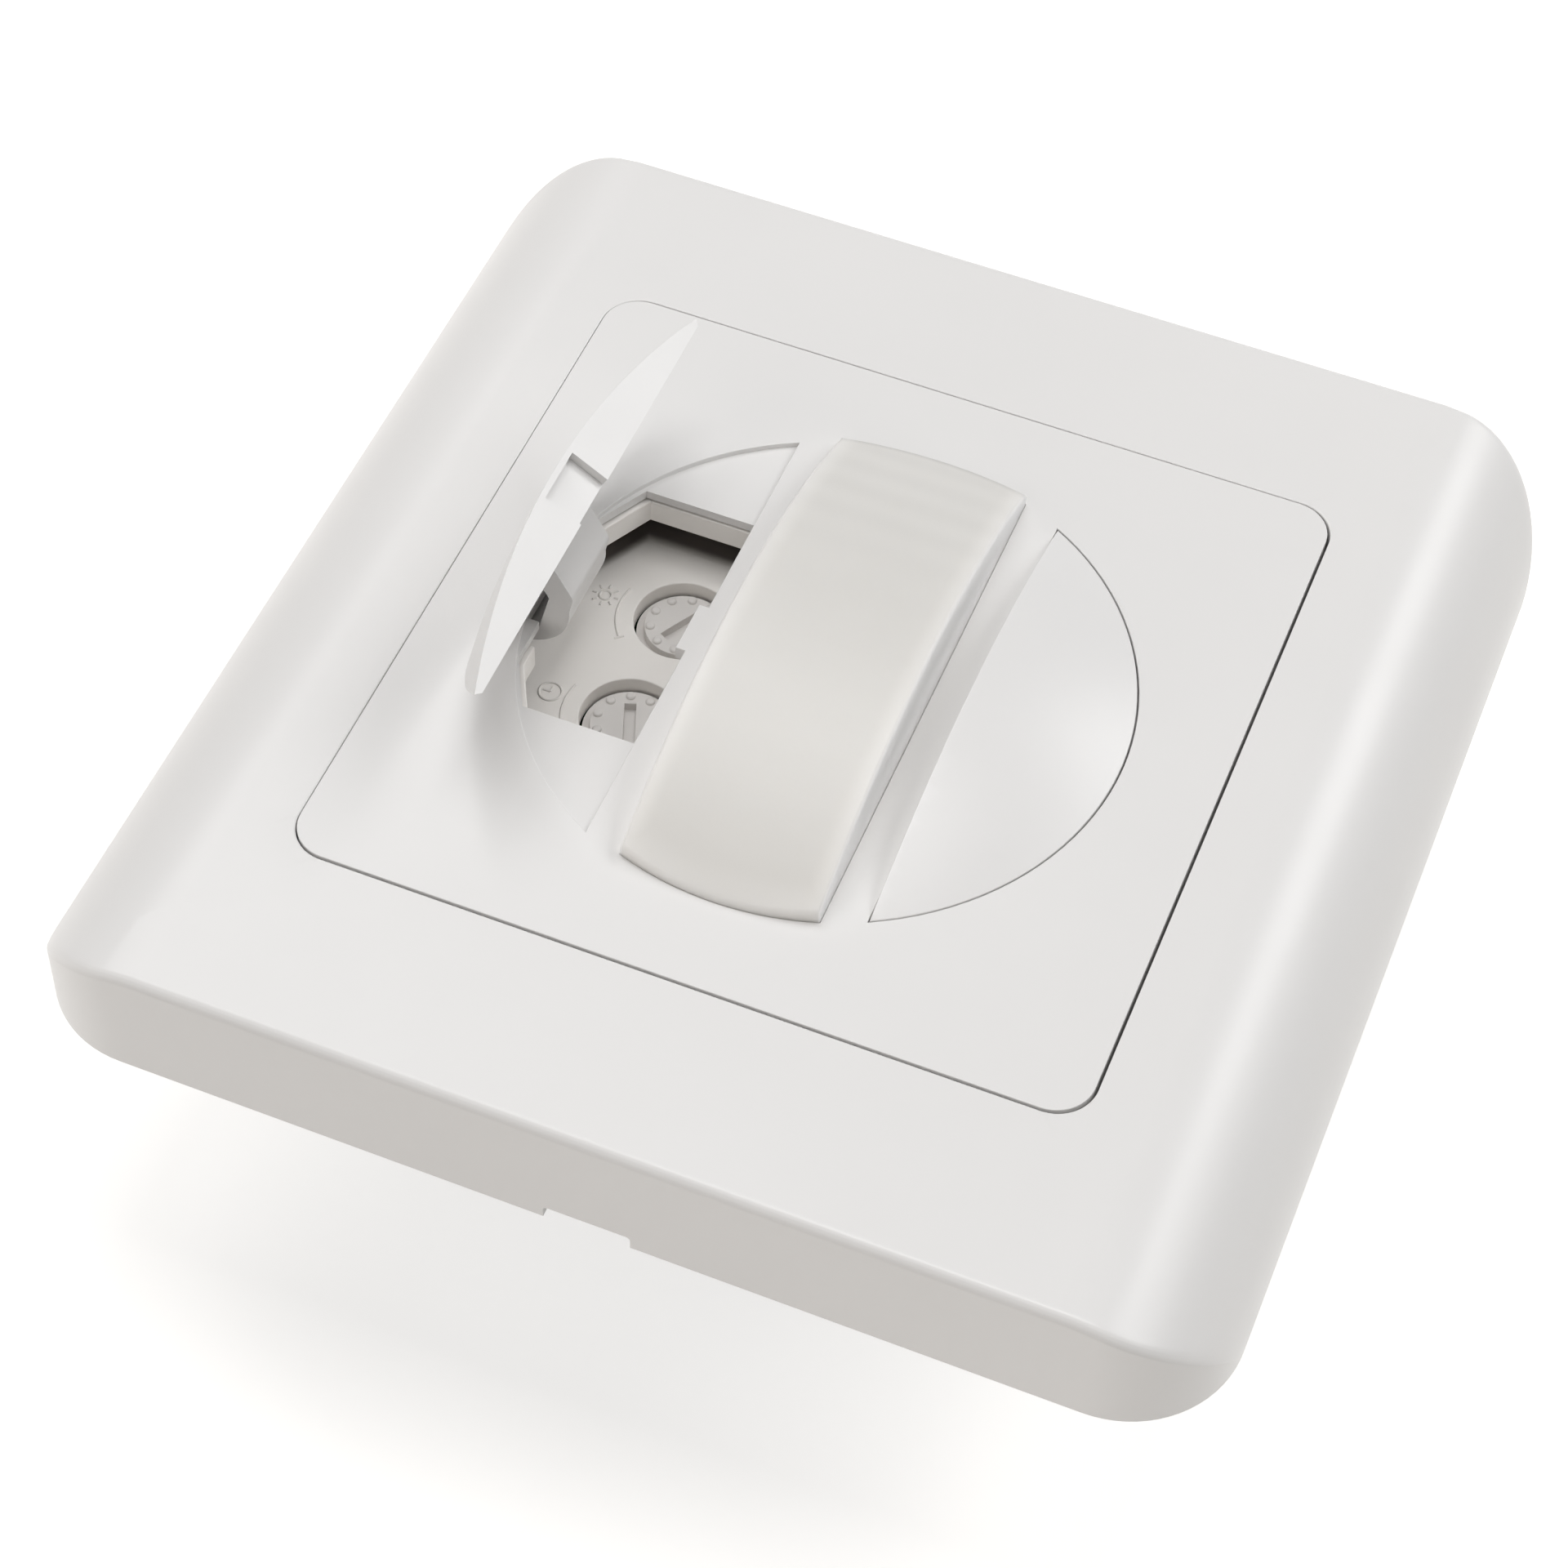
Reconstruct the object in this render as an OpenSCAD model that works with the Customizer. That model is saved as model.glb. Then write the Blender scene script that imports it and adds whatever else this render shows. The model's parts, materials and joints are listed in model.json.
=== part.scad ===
// Motion sensor light switch for a flush wall box, lying face up.
// The wall plane is z = 0 and its middle is the origin; +Z points into the room.
// In use the flap side, -X, is the top.

/* [Cover frame] */
// Width of the frame along X
frame_x = 82.4; // [78:0.2:90]
// Width of the frame along Y
frame_y = 82.6; // [78:0.2:90]
// Height of the frame and plate above the wall
frame_t = 9.75; // [9.5:0.05:12]
// Radius of the frame's corners in plan
frame_corner_r = 8; // [6:0.5:11]
// Depth below the wall plane of the middle of the round shoulders on the left and right
shoulder_sink = 0.15; // [0.1:0.05:1]
// Distance by which the corners' rounds start outside the shoulders' foot
corner_ease = 0.02; // [0.02:0.01:0.1]
// Size of the bevel along the front and back top edges
frame_edge = 0.5; // [0.3:0.1:1]
// Wall thickness of the frame
frame_wall = 2; // [1.5:0.1:2.5]
// Width of the prying notch in the front edge
pry_w = 6; // [4:0.5:10]
// Height of the prying notch
pry_h = 1.1; // [0.6:0.1:2]

/* [Centre plate] */
// Side of the square plate
insert = 55; // [54:0.5:57]
// Corner radius of the plate
insert_corner_r = 2.75; // [2:0.25:4]
// Gap between the plate and the frame
insert_gap = 0.2; // [0.15:0.05:0.6]
// Thickness of the plate
plate_t = 1.1; // [0.9:0.1:1.4]
// Thickness of the plate's skirt
skirt_wall = 1.2; // [1:0.1:1.5]
// Length of each snap catch inside the skirt
catch_l = 12; // [6:1:20]
// Height of each snap catch
catch_h = 1; // [0.6:0.1:1.1]
// Reach of each snap catch under the carrier's edge
catch_reach = 0.7; // [0.4:0.1:1]

/* [Sensor face] */
// Radius of the round sensor face
face_r = 20.9; // [20.5:0.1:22]
// Distance of the two straight edges from the middle
chord_x = 9.8; // [9.6:0.1:10.4]
// Height of the domes above the plate at their straight edge
dome_rise = 3.1; // [2.4:0.1:3.6]
// Skin thickness of the flap and the button
dome_skin = 1; // [0.8:0.1:1.3]
// Width of the lens band
lens_w = 14; // [12:0.5:14.5]
// Height of the lens above the plate
lens_rise = 5.3; // [4:0.1:7]
// Height of the lens's ends above the plate
lens_end = 0.4; // [0.2:0.1:0.8]
// Wall thickness of the lens
lens_wall = 1.2; // [0.9:0.1:1.5]
// Width of the flange that holds the lens under the plate
lens_flange = 0.9; // [0.6:0.1:1]
// Thickness of the lens flange
lens_flange_t = 0.9; // [0.6:0.1:1.2]
// Rows of lens elements on the inside
lens_rows = 11; // [7:2:13]
// Depth of each row's hollow
lens_row_depth = 0.25; // [0.1:0.05:0.4]
// Gap round the lens
lens_gap = 0.08; // [0.05:0.01:0.15]

/* [Settings flap] */
// Distance of the flap's hinge axis outside the round face
hinge_out = 1.5; // [1.3:0.1:1.9]
// Depth of the hinge axis under the plate's top
hinge_drop = 2.05; // [2.05:0.05:2.3]
// Angle of the flap from shut to the open rest pose
open_angle = 58.5; // [45:0.5:60]
// Thickness of the flap's rim, which lies in the recess
rim_t = 0.35; // [0.25:0.05:0.5]
// Gap under the flap's rim when shut
rim_gap = 0.1; // [0.05:0.05:0.2]
// Distance by which the recess is wider than the round face
recess_ease = 0.35; // [0.3:0.05:0.4]
// Radius of the trunnions
trunnion_r = 0.6; // [0.5:0.05:0.65]
// Radial running clearance of the trunnions
trunnion_clear = 0.05; // [0.02:0.01:0.08]
// Radius of the arm's hub round the trunnions
hub_r = 0.85; // [0.8:0.05:0.9]
// Width of the gooseneck arm
arm_w = 6.2; // [4:0.1:6.4]
// Thickness of the gooseneck arm
arm_t = 1.3; // [1:0.1:1.4]
// Inner radius of the gooseneck's bend
neck_r = 2.8; // [2.7:0.05:2.9]
// Thickness of the arm's leg under the flap
leg_t = 2.55; // [2.4:0.05:2.7]
// Step on each side between the bend and its leg
leg_step = 0.05; // [0.03:0.01:0.08]
// Distance of the elbow's middle from the bend's middle along X when shut
elbow_x = 3.16; // [3.1:0.02:3.2]
// Depth of the elbow's middle below the bend's middle
elbow_drop = 2.23; // [2.15:0.02:2.3]
// Radius of the elbow
elbow_r = 0.8; // [0.7:0.05:0.9]
// Height of the bend's middle below the plate's top
neck_drop = 0.8; // [0.7:0.05:0.9]
// Thickness of each hinge lug
lug_t = 1.5; // [1:0.1:2]
// Wall of a hinge lug round its bore
lug_wall = 0.6; // [0.5:0.05:0.7]
// Gap between the arm and each hinge lug
arm_gap = 0.3; // [0.2:0.05:0.4]
// Depth of the notch in the plate's edge behind the arm
lip_notch = 0.8; // [0.7:0.1:0.9]
// Width of the latch notch in the flap's straight face
latch_w = 4.4; // [3:0.2:6]
// Depth of the latch notch
latch_depth = 0.7; // [0.4:0.1:0.8]
// Height of the latch notch
latch_h = 3; // [2:0.1:3]
// Wall left behind the latch notch
latch_wall_t = 0.5; // [0.4:0.1:0.7]

/* [Settings pocket] */
// Width of the recess beyond the pocket's far edge
pocket_rim = 1.2; // [1:0.1:1.7]
// Half width of the pocket along Y
pocket_half = 10.5; // [9.5:0.5:11.5]
// Cut of the pocket's corners along X
pocket_cut_x = 2; // [1:0.1:3]
// Cut of the pocket's corners along Y
pocket_cut_y = 3.8; // [2:0.1:4.5]
// Distance by which the plate's opening is longer than the collar along X, at the hinge end
ledge_x = 0.35; // [0.3:0.05:0.35]
// Distance by which the plate's opening is wider than the collar along Y, on each side
ledge_y = 0.1; // [0.05:0.05:0.15]
// Wall thickness of the collar under the pocket's edge
collar_wall = 1; // [0.8:0.1:1.2]
// Height of the collar
collar_h = 1.95; // [1.5:0.05:2.1]
// Gap between the plate and the collar
collar_seam = 0.15; // [0.1:0.05:0.2]
// Width of the two posts that carry the collar
collar_post = 2; // [1.5:0.1:2.5]
// Distance of those posts outside the collar
collar_post_out = 1.2; // [1:0.1:1.5]
// Thickness of the arms between the posts and the collar
collar_arm_t = 1; // [0.8:0.1:1.2]
// Depth of the dial deck below the plate's top
deck_drop = 5.7; // [5.6:0.1:6.2]
// Thickness of the dial deck
deck_t = 1.5; // [1.3:0.1:1.8]

/* [Dials] */
// Distance of the dials from the middle along X
dial_x = 12.75; // [12.4:0.05:13]
// Distance between the two dials
dial_pitch = 9.56; // [9:0.02:10]
// Radius of the round wells in the deck
dial_well_r = 3.5; // [3.2:0.1:3.9]
// Gap between a dial's foot and its well
dial_gap = 0.2; // [0.15:0.05:0.4]
// Width of a dial's foot beyond its face
dial_foot = 0.55; // [0.3:0.05:0.6]
// Depth of the foot below a dial's face
dial_step = 0.7; // [0.4:0.1:0.8]
// Thickness of a dial
dial_t = 1.2; // [1:0.1:1.3]
// Depth of a dial's face below the deck
dial_sink = 0.5; // [0.4:0.1:1]
// Radius of a dial's shaft
dial_shaft_r = 1; // [0.8:0.05:1.2]
// Radial running clearance of a dial's shaft
dial_shaft_clear = 0.05; // [0.02:0.01:0.08]
// Raised dots round a dial
dial_dots = 10; // [8:2:12]
// Radius of a raised dot
dial_dot_r = 0.34; // [0.2:0.01:0.36]
// Height of a raised dot
dial_dot_h = 0.2; // [0.1:0.05:0.3]
// Distance of the dots from the edge of a dial's face
dial_dot_edge = 0.08; // [0.05:0.01:0.3]
// Angle of the lux dial's slot
lux_angle = 61; // [0:1:179]
// Angle of the time dial's slot
time_angle = 111; // [0:1:179]
// Width of a dial's slot
dial_slot_w = 0.8; // [0.5:0.1:1]
// Length of a dial's slot
dial_slot_l = 3.4; // [3:0.1:3.8]
// Depth of a dial's slot
dial_slot_d = 0.7; // [0.4:0.1:0.8]

/* [Override button] */
// Travel of the button
button_travel = 0.5; // [0.3:0.1:0.8]
// Gap round the button
button_gap = 0.12; // [0.08:0.01:0.2]
// Width of the button's retaining flange
button_flange = 0.6; // [0.4:0.1:0.7]
// Thickness of the button's retaining flange
button_flange_t = 1; // [0.8:0.1:1.3]
// Distance of the button's post from the middle
button_x = 14.5; // [14:0.1:15]
// Radius of the button's post
button_post_r = 2; // [1.5:0.1:2.5]

/* [Sensor carrier and control board] */
// Gap between the carrier's flange and the plate's skirt
carrier_gap = 1.3; // [1:0.1:1.6]
// Width of the carrier's flange beyond its foot
carrier_lip = 1.5; // [1.2:0.1:1.8]
// Wall thickness of the carrier's foot
carrier_wall = 1.5; // [1.2:0.1:2]
// Height of the posts between the deck and the control board
board_post_h = 2.55; // [2.3:0.05:3]
// Radius of the board posts
board_post_r = 2; // [1.8:0.1:2.3]
// Distance of the board posts from the board's edge along X
board_post_in_x = 3; // [2.8:0.1:3.4]
// Distance of the board posts from the board's edge along Y
board_post_in_y = 7.5; // [7.2:0.1:8]
// Radius of the board screws' shanks
board_screw_r = 0.9; // [0.7:0.05:1]
// Radius of the board screws' heads
board_screw_head_r = 1.8; // [1.5:0.1:2]
// Height of the board screws' heads
board_screw_head_h = 1.2; // [0.9:0.1:1.6]
// Gap between the circuit boards and the rear housing's wall
board_gap = 1.4; // [1:0.1:2]
// Corner radius of both circuit boards
board_corner_r = 11.5; // [11:0.5:13]
// Thickness of both circuit boards
board_t = 1.6; // [1.2:0.1:2]
// Radius of the infrared sensor's can
pir_r = 4.1; // [3.5:0.1:4.4]
// Height of the infrared sensor
pir_h = 4.2; // [3.6:0.1:5]
// Width of the rim at the sensor's foot
pir_flange = 0.5; // [0.3:0.1:0.7]
// Height of that rim
pir_flange_h = 0.6; // [0.4:0.1:1]
// Length of the infrared window
pir_window_x = 4.2; // [3:0.1:5]
// Width of the infrared window
pir_window_y = 3.2; // [2.5:0.1:4]
// Thickness of the infrared window
window_t = 0.4; // [0.3:0.1:0.8]
// Radius of the light sensor
light_r = 1.5; // [1:0.1:2]
// Distance of the light sensor from the middle
light_y = 9.5; // [8.5:0.5:11]
// Height of the light sensor
light_h = 3.5; // [3:0.1:4.5]
// Side of a potentiometer
pot = 6.6; // [5:0.1:7]
// Height of a potentiometer
pot_h = 1.7; // [1.2:0.1:1.8]
// Thickness of a potentiometer's floor under the dial's shaft
pot_floor = 0.25; // [0.2:0.05:0.4]
// Side of the tact switch
tact = 6; // [5:0.1:6.4]
// Height of the tact switch's case
tact_h = 3.1; // [2.8:0.1:3.4]
// Radius of the tact plunger
plunger_r = 1.6; // [1.2:0.1:1.8]
// Height of the tact plunger above its case
plunger_h = 1; // [0.9:0.1:1.2]
// Side of the control chip
chip = 7; // [5:0.5:8]
// Height of the control chip
chip_h = 1.4; // [1:0.1:2]

/* [Yoke and rear housing] */
// Side of the mounting yoke
yoke = 71; // [70.5:0.5:74]
// Thickness of the mounting yoke
yoke_t = 1.2; // [1:0.1:1.4]
// Corner radius of the mounting yoke
yoke_corner_r = 6; // [4:0.5:8]
// Gap between the control board and the yoke
yoke_gap = 1; // [0.5:0.1:1.4]
// Corner radius of the opening in the yoke
yoke_opening_r = 12; // [11.5:0.5:14]
// Distance between opposite box screws
box_spacing = 60; // [58:0.5:62]
// Width of a box-screw slot
box_slot_w = 3.6; // [3:0.1:4.2]
// Length of a box-screw slot
box_slot_l = 6.6; // [5:0.2:7]
// Distance of the rear housing's wall inside the carrier's foot
housing_inset = 0.5; // [0.2:0.1:0.8]
// Depth of the rear housing behind the wall plane
housing_depth = 25; // [23.5:0.5:30]
// Wall thickness of the rear housing
housing_wall = 1.6; // [1.2:0.1:2]
// Corner radius of the rear housing
housing_corner_r = 7.5; // [6.9:0.1:8]
// Distance of the housing screws from the housing's faces
housing_screw_in = 4; // [3.6:0.1:4.2]
// Radius of the housing screws' shanks
housing_screw_r = 1.1; // [0.9:0.05:1.2]
// Radius of the housing screws' heads
housing_screw_head_r = 2.1; // [1.8:0.1:2.3]
// Height of the housing screws' heads
housing_screw_head_h = 1.4; // [1:0.1:1.8]
// Length of the housing screws inside the bosses
housing_screw_bite = 8; // [5:0.5:8]
// Radius of the housing's screw bosses
boss_r = 2.4; // [2.1:0.1:2.4]
// Length of the housing's screw bosses
boss_l = 12; // [8:1:13]
// Width of the rests that carry the power board
rest_w = 6; // [4:0.5:10]
// Thickness of those rests
rest_t = 2; // [1.6:0.1:3]

/* [Power parts] */
// Height of the terminal block behind the power board
block_h = 7; // [6.5:0.5:7.5]
// Width of the terminal block along Y
block_y = 11; // [10:0.5:12]
// Wall at each end of the terminal block
block_end = 1; // [0.6:0.1:1.6]
// Number of terminals
ways = 4; // [2:1:4]
// Distance between terminals
way_pitch = 5; // [4.8:0.1:5.4]
// Radius of a wire entry
wire_r = 1.4; // [1.2:0.1:1.5]
// Depth of a wire entry
wire_l = 5; // [4:0.5:5]
// Radius of a terminal screw's head
terminal_screw_r = 1.7; // [1.4:0.1:1.9]
// Radius of a terminal screw's thread
terminal_thread_r = 0.85; // [0.7:0.05:1]
// Height of a terminal screw's head
terminal_head_h = 1.4; // [1:0.1:1.8]
// Thickness of a terminal clamp
clamp_t = 0.8; // [0.6:0.1:1]
// Wall between a terminal clamp and its neighbour's wall
clamp_side = 0.7; // [0.5:0.05:0.9]
// Wall of the block beyond a clamp's end
clamp_end = 1.5; // [1:0.1:1.8]
// Length of the relay
relay_x = 20; // [18:0.5:21]
// Width of the relay
relay_y = 10; // [9:0.5:11]
// Height of the relay
relay_h = 12; // [10:0.5:12.5]
// Length of the film capacitor
film_x = 13; // [11:0.5:14]
// Width of the film capacitor
film_y = 6; // [5:0.5:7]
// Height of the film capacitor
film_h = 11; // [9:0.5:12]
// Radius of the reservoir capacitor
reservoir_r = 3.2; // [2.5:0.1:4]
// Height of the reservoir capacitor
reservoir_h = 11; // [8:0.5:12]
// Radius of the fuse
fuse_r = 3; // [2.5:0.1:4]
// Height of the fuse
fuse_h = 8; // [6:0.5:10]
// Radius of the varistor's disc
varistor_r = 3.6; // [3:0.1:4.5]
// Thickness of the varistor's disc
varistor_t = 3; // [2.5:0.1:4]
// Height of the varistor's disc above the board
varistor_leg = 2; // [1:0.5:3]
// Pins between the two boards
pins = 5; // [3:1:6]
// Distance between those pins
pin_pitch = 2.54; // [2:0.02:2.6]
// Radius of those pins
pin_r = 0.32; // [0.25:0.01:0.4]
// Side of the pins' plastic strip
header_w = 2.5; // [2:0.1:3]
// Distance of the pins from the board's edge
header_margin = 4; // [3:0.5:6]

/* [Screws and fits] */
// Width of a screw's cross slot
drive_w = 0.5; // [0.4:0.05:0.6]
// Depth of a screw's cross slot
drive_d = 0.7; // [0.4:0.05:0.8]
// Radial clearance of a screw that passes through
screw_clear = 0.2; // [0.1:0.05:0.3]
// Radial clearance of a screw or plunger in its own hole
thread_clear = 0.05; // [0.02:0.01:0.08]
// Gap between flat faces that seat on each other
seat = 0.05; // [0.03:0.01:0.08]
// Gap between pieces that pass each other
pass = 0.3; // [0.2:0.05:0.4]

/* [Hidden] */
$fn = 96;
// Small overlap of joined shapes, and the length by which a cut runs past its piece
eps = 0.01;
over = 1;

// Sides of the pieces under the plate, from the outside in
carrier = insert - 2 * (skirt_wall + carrier_gap);
carrier_foot = carrier - 2 * carrier_lip;
housing = carrier_foot - 2 * housing_inset;
housing_screw_pitch = housing - 2 * housing_screw_in;
board = housing - 2 * (housing_wall + board_gap);
yoke_opening = board + 2 * yoke_gap;
board_post_x = board / 2 - board_post_in_x;
board_post_y = board / 2 - board_post_in_y;

// Heights
top = frame_t;
plate_under = top - plate_t;
deck_top = top - deck_drop;
deck_under = deck_top - deck_t;
board_top = deck_under - board_post_h;
board_under = board_top - board_t;
lens_flange_under = plate_under - lens_flange_t;
button_flange_top = plate_under - seat;
button_under = button_flange_top - button_flange_t;
skirt_bottom = yoke_t + seat;
catch_top = deck_under - seat;
rear = -housing_depth;
power_under = rear + block_h;
power_top = power_under + board_t;

// Domes of the flap and the button share one sphere through the face's circle
dome_centre_drop = (pow(face_r, 2) - pow(chord_x, 2) - pow(dome_rise, 2)) / (2 * dome_rise);
dome_r = sqrt(pow(face_r, 2) + pow(dome_centre_drop, 2));
dome_centre_z = top - dome_centre_drop;
dome_head = top + 2 * dome_rise;

// Lens vault, an arc along Y through the ends of the face
vault_sag = lens_rise - lens_end;
vault_r = (pow(face_r, 2) + pow(vault_sag, 2)) / (2 * vault_sag);
vault_z = top + lens_rise - vault_r;
lens_head = top + lens_rise + eps;
lens_row_pitch = 2 * (face_r - lens_wall) / lens_rows;
lens_row_r = (pow(lens_row_pitch / 2, 2) + pow(lens_row_depth, 2)) / (2 * lens_row_depth);

// Flap, drawn shut and then swung open about its hinge
recess_d = rim_t + rim_gap / 2;
pocket_far = face_r - pocket_rim;
hinge_x = face_r + hinge_out;
hinge_z = top - hinge_drop;
neck_x = pocket_far - rim_gap;
neck_z = top - neck_drop;
neck_out = neck_r + arm_t;
leg_out = neck_r + leg_t;
neck_end = atan2(hinge_z - neck_z, neck_x - hinge_x);
trunnion_l = arm_w + 2 * (arm_gap + lug_t);
lug_y = arm_w / 2 + arm_gap;
lug_r = trunnion_r + trunnion_clear;
lip_notch_x = pocket_far + lip_notch;
chord_face_wall = latch_depth + latch_wall_t;

// Frame
frame_open = insert + 2 * insert_gap;
frame_inner_wall = frame_open + 2 * frame_wall;
frame_relief = frame_inner_wall + 2 * pass;

// Pocket outline and its collar
pocket_cut_len = sqrt(pow(pocket_cut_x, 2) + pow(pocket_cut_y, 2));
pocket_cut_from = pocket_half - pocket_cut_y;

// Dials
dial_r = dial_well_r - dial_gap;
dial_top = deck_top - dial_sink;
dial_face_r = dial_r - dial_foot;
dial_dot_ring = dial_face_r - dial_dot_edge - dial_dot_r;

// Fasteners
board_screw_l = board_t + board_post_h + deck_t / 2;
drive_reach = 1.3;

// Terminal block, with the wire entries outside and the screws inside
block_x = ways * way_pitch + 2 * block_end;
block_mid_y = -(housing / 2 - housing_wall - block_y / 2 - pass);
wire_y = block_mid_y - block_y / 4;
screw_y = block_mid_y + block_y / 4;
clamp_y = block_y - 2 * clamp_end;
clamp_x = way_pitch - 2 * clamp_side;
clamp_z = rear + wire_l;

// Power parts on their board
relay_at = [-7, 2];
film_at = [10.5, 4];
reservoir_at = [14, -6];
fuse_at = [-13, -8];
varistor_at = [1, -9];
header_y = board / 2 - header_margin;
chip_at = [2, -12.5];

// Outline of the pocket, moved outward by grow and then stretched by ledge
function pocket_corner_low(grow, ledge) =
    let (nx = -pocket_cut_y / pocket_cut_len, ny = pocket_cut_x / pocket_cut_len)
    let (s = (-grow - nx * grow) / pocket_cut_x)
    [-(pocket_far + grow) - ledge[0], pocket_cut_from + ny * grow + s * pocket_cut_y + ledge[1]];
function pocket_corner_high(grow, ledge) =
    let (nx = -pocket_cut_y / pocket_cut_len, ny = pocket_cut_x / pocket_cut_len)
    let (s = (pocket_cut_y + grow - ny * grow) / pocket_cut_y)
    [-pocket_far + nx * grow + s * pocket_cut_x - ledge[0], pocket_half + grow + ledge[1]];
function flip_y(p) = [p[0], -p[1]];

// Shapes that repeat

module rounded_rect(x, y, r) {
    square([x - 2 * r, y], center = true);
    square([x, y - 2 * r], center = true);
    for (sx = [-1, 1], sy = [-1, 1])
        translate([sx * (x / 2 - r), sy * (y / 2 - r)])
            circle(r);
}

module slab(x, y, r, low, high) {
    translate([0, 0, low])
        linear_extrude(high - low)
            rounded_rect(x, y, r);
}

module block(x, y, low, high) {
    translate([-x / 2, -y / 2, low])
        cube([x, y, high - low]);
}

module rod(r, low, high) {
    translate([0, 0, low])
        cylinder(r = r, h = high - low);
}

module at_corners(x, y) {
    for (sx = [-1, 1], sy = [-1, 1])
        translate([sx * x, sy * y, 0])
            children();
}

// Part of the round face within half_w of the middle
module band(r, half_w, low, high) {
    intersection() {
        rod(r, low, high);
        block(2 * half_w, 3 * r, low, high);
    }
}

// Part of the round face beyond the straight edge at x = edge, on the +X side
module segment(r, edge, low, high) {
    intersection() {
        rod(r, low, high);
        translate([edge, -2 * r, low])
            cube([2 * r, 4 * r, high - low]);
    }
}

module dome(r) {
    translate([0, 0, dome_centre_z])
        sphere(r, $fn = 192);
}

module pocket_prism(grow, low, high, ledge = [0, 0]) {
    near = -(chord_x - grow);
    half = pocket_half + grow + ledge[1];
    corner_low = pocket_corner_low(grow, ledge);
    corner_high = pocket_corner_high(grow, ledge);
    translate([0, 0, low])
        linear_extrude(high - low)
            polygon([[near, -half], [near, half], corner_high, corner_low, flip_y(corner_low),
                flip_y(corner_high)]);
}

// Screw that points down, its head standing on head_z
module screw(r, head_r, head_h, head_z, end_z) {
    difference() {
        union() {
            rod(r, end_z, head_z + eps);
            rod(head_r, head_z, head_z + head_h);
        }
        block(drive_w, drive_reach * head_r, head_z + head_h - drive_d, head_z + head_h + eps);
        block(drive_reach * head_r, drive_w, head_z + head_h - drive_d, head_z + head_h + eps);
    }
}

// Cover frame

// Flat top with a quarter round down to the wall at both ends
module shoulder_profile(x, height) {
    r = height + shoulder_sink;
    flat = x / 2 - sqrt(pow(r, 2) - pow(shoulder_sink, 2));
    intersection() {
        union() {
            square([2 * flat, 2 * height], center = true);
            for (side = [-1, 1])
                translate([side * flat, -shoulder_sink])
                    circle(r);
        }
        translate([-x / 2, 0])
            square([x, height]);
    }
}

// Upright front and back with a bevel along the top edges
module bevel_profile(y, height) {
    half = y / 2;
    head = half - frame_edge - over;
    polygon([[-half, -over], [half, -over], [half, height - frame_edge], [head, height + over],
        [-head, height + over], [-half, height - frame_edge]]);
}

module frame_form(inset) {
    x = frame_x - 2 * inset;
    y = frame_y - 2 * inset;
    height = top - inset;
    intersection() {
        slab(x + 2 * corner_ease, y, frame_corner_r - inset, -over, height + over);
        translate([0, frame_y / 2, 0])
            rotate([90, 0, 0])
                linear_extrude(frame_y)
                    shoulder_profile(x, height);
        rotate([90, 0, 90])
            translate([0, 0, -frame_x / 2])
                linear_extrude(frame_x)
                    bevel_profile(y, height);
    }
}

module cover_frame() {
    color([0.89, 0.88, 0.86])
        difference() {
            frame_form(0);
            difference() {
                translate([0, 0, -eps])
                    frame_form(frame_wall);
                slab(frame_inner_wall, frame_inner_wall, insert_corner_r + insert_gap + frame_wall, -over, top);
            }
            slab(frame_open, frame_open, insert_corner_r + insert_gap, -over, top + over);
            slab(frame_relief, frame_relief, insert_corner_r + insert_gap + frame_wall, -over, yoke_t);
            translate([0, -frame_y / 2, 0])
                block(pry_w, 4 * frame_wall, -over, pry_h);
        }
}

// Centre plate

module hinge_lugs() {
    lug_x = 2 * (lug_r + lug_wall);
    for (side = [-1, 1])
        difference() {
            translate([-hinge_x, side * (lug_y + lug_t / 2), 0])
                block(lug_x, lug_t, hinge_z - lug_x / 2, plate_under + eps);
            trunnion_bore();
        }
}

module trunnion_bore() {
    translate([-hinge_x, trunnion_l, hinge_z])
        rotate([90, 0, 0])
            cylinder(r = lug_r, h = 2 * trunnion_l);
}

module snap_catches() {
    inner = insert / 2 - skirt_wall;
    reach = inner - carrier / 2 + catch_reach;
    for (side = [-1, 1])
        translate([side * (inner - reach / 2), 0, 0])
            block(reach + eps, catch_l, catch_top - catch_h, catch_top);
}

module centre_plate() {
    color([0.89, 0.88, 0.86]) {
        latch_tongue();
        pierced_plate();
    }
}

module pierced_plate() {
    difference() {
        union() {
            difference() {
                slab(insert, insert, insert_corner_r, skirt_bottom, top);
                slab(insert - 2 * skirt_wall, insert - 2 * skirt_wall, insert_corner_r - skirt_wall,
                    skirt_bottom - over, plate_under);
            }
            hinge_lugs();
            snap_catches();
            latch_wall();
        }
        flap_recess();
        pocket_prism(0, plate_under - eps, top + over, [ledge_x, ledge_y]);
        band(face_r, lens_w / 2, plate_under - over, top + over);
        segment(face_r, chord_x, plate_under - over, top + over);
        translate([-(pocket_far + lip_notch_x) / 2, 0, 0])
            block(2 * (lip_notch_x - pocket_far), 2 * lug_y, plate_under - eps, top + over);
    }
}

// Tongue at the pocket's straight edge, on which the flap clicks shut
module latch_tongue() {
    root = (chord_x - lens_w / 2) / 2;
    translate([-chord_x + (root - latch_depth) / 2, 0, 0])
        block(root + latch_depth, latch_w - 2 * rim_gap, plate_under, top);
}

module flap_recess() {
    mirror([1, 0, 0])
        segment(face_r + recess_ease, chord_x, top - recess_d, top + over);
}

// Wall under the pocket's straight edge
module latch_wall() {
    translate([-chord_x + collar_wall / 2, 0, 0])
        block(collar_wall, 2 * pocket_half, deck_top + seat, plate_under + eps);
}

// Settings flap

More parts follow.
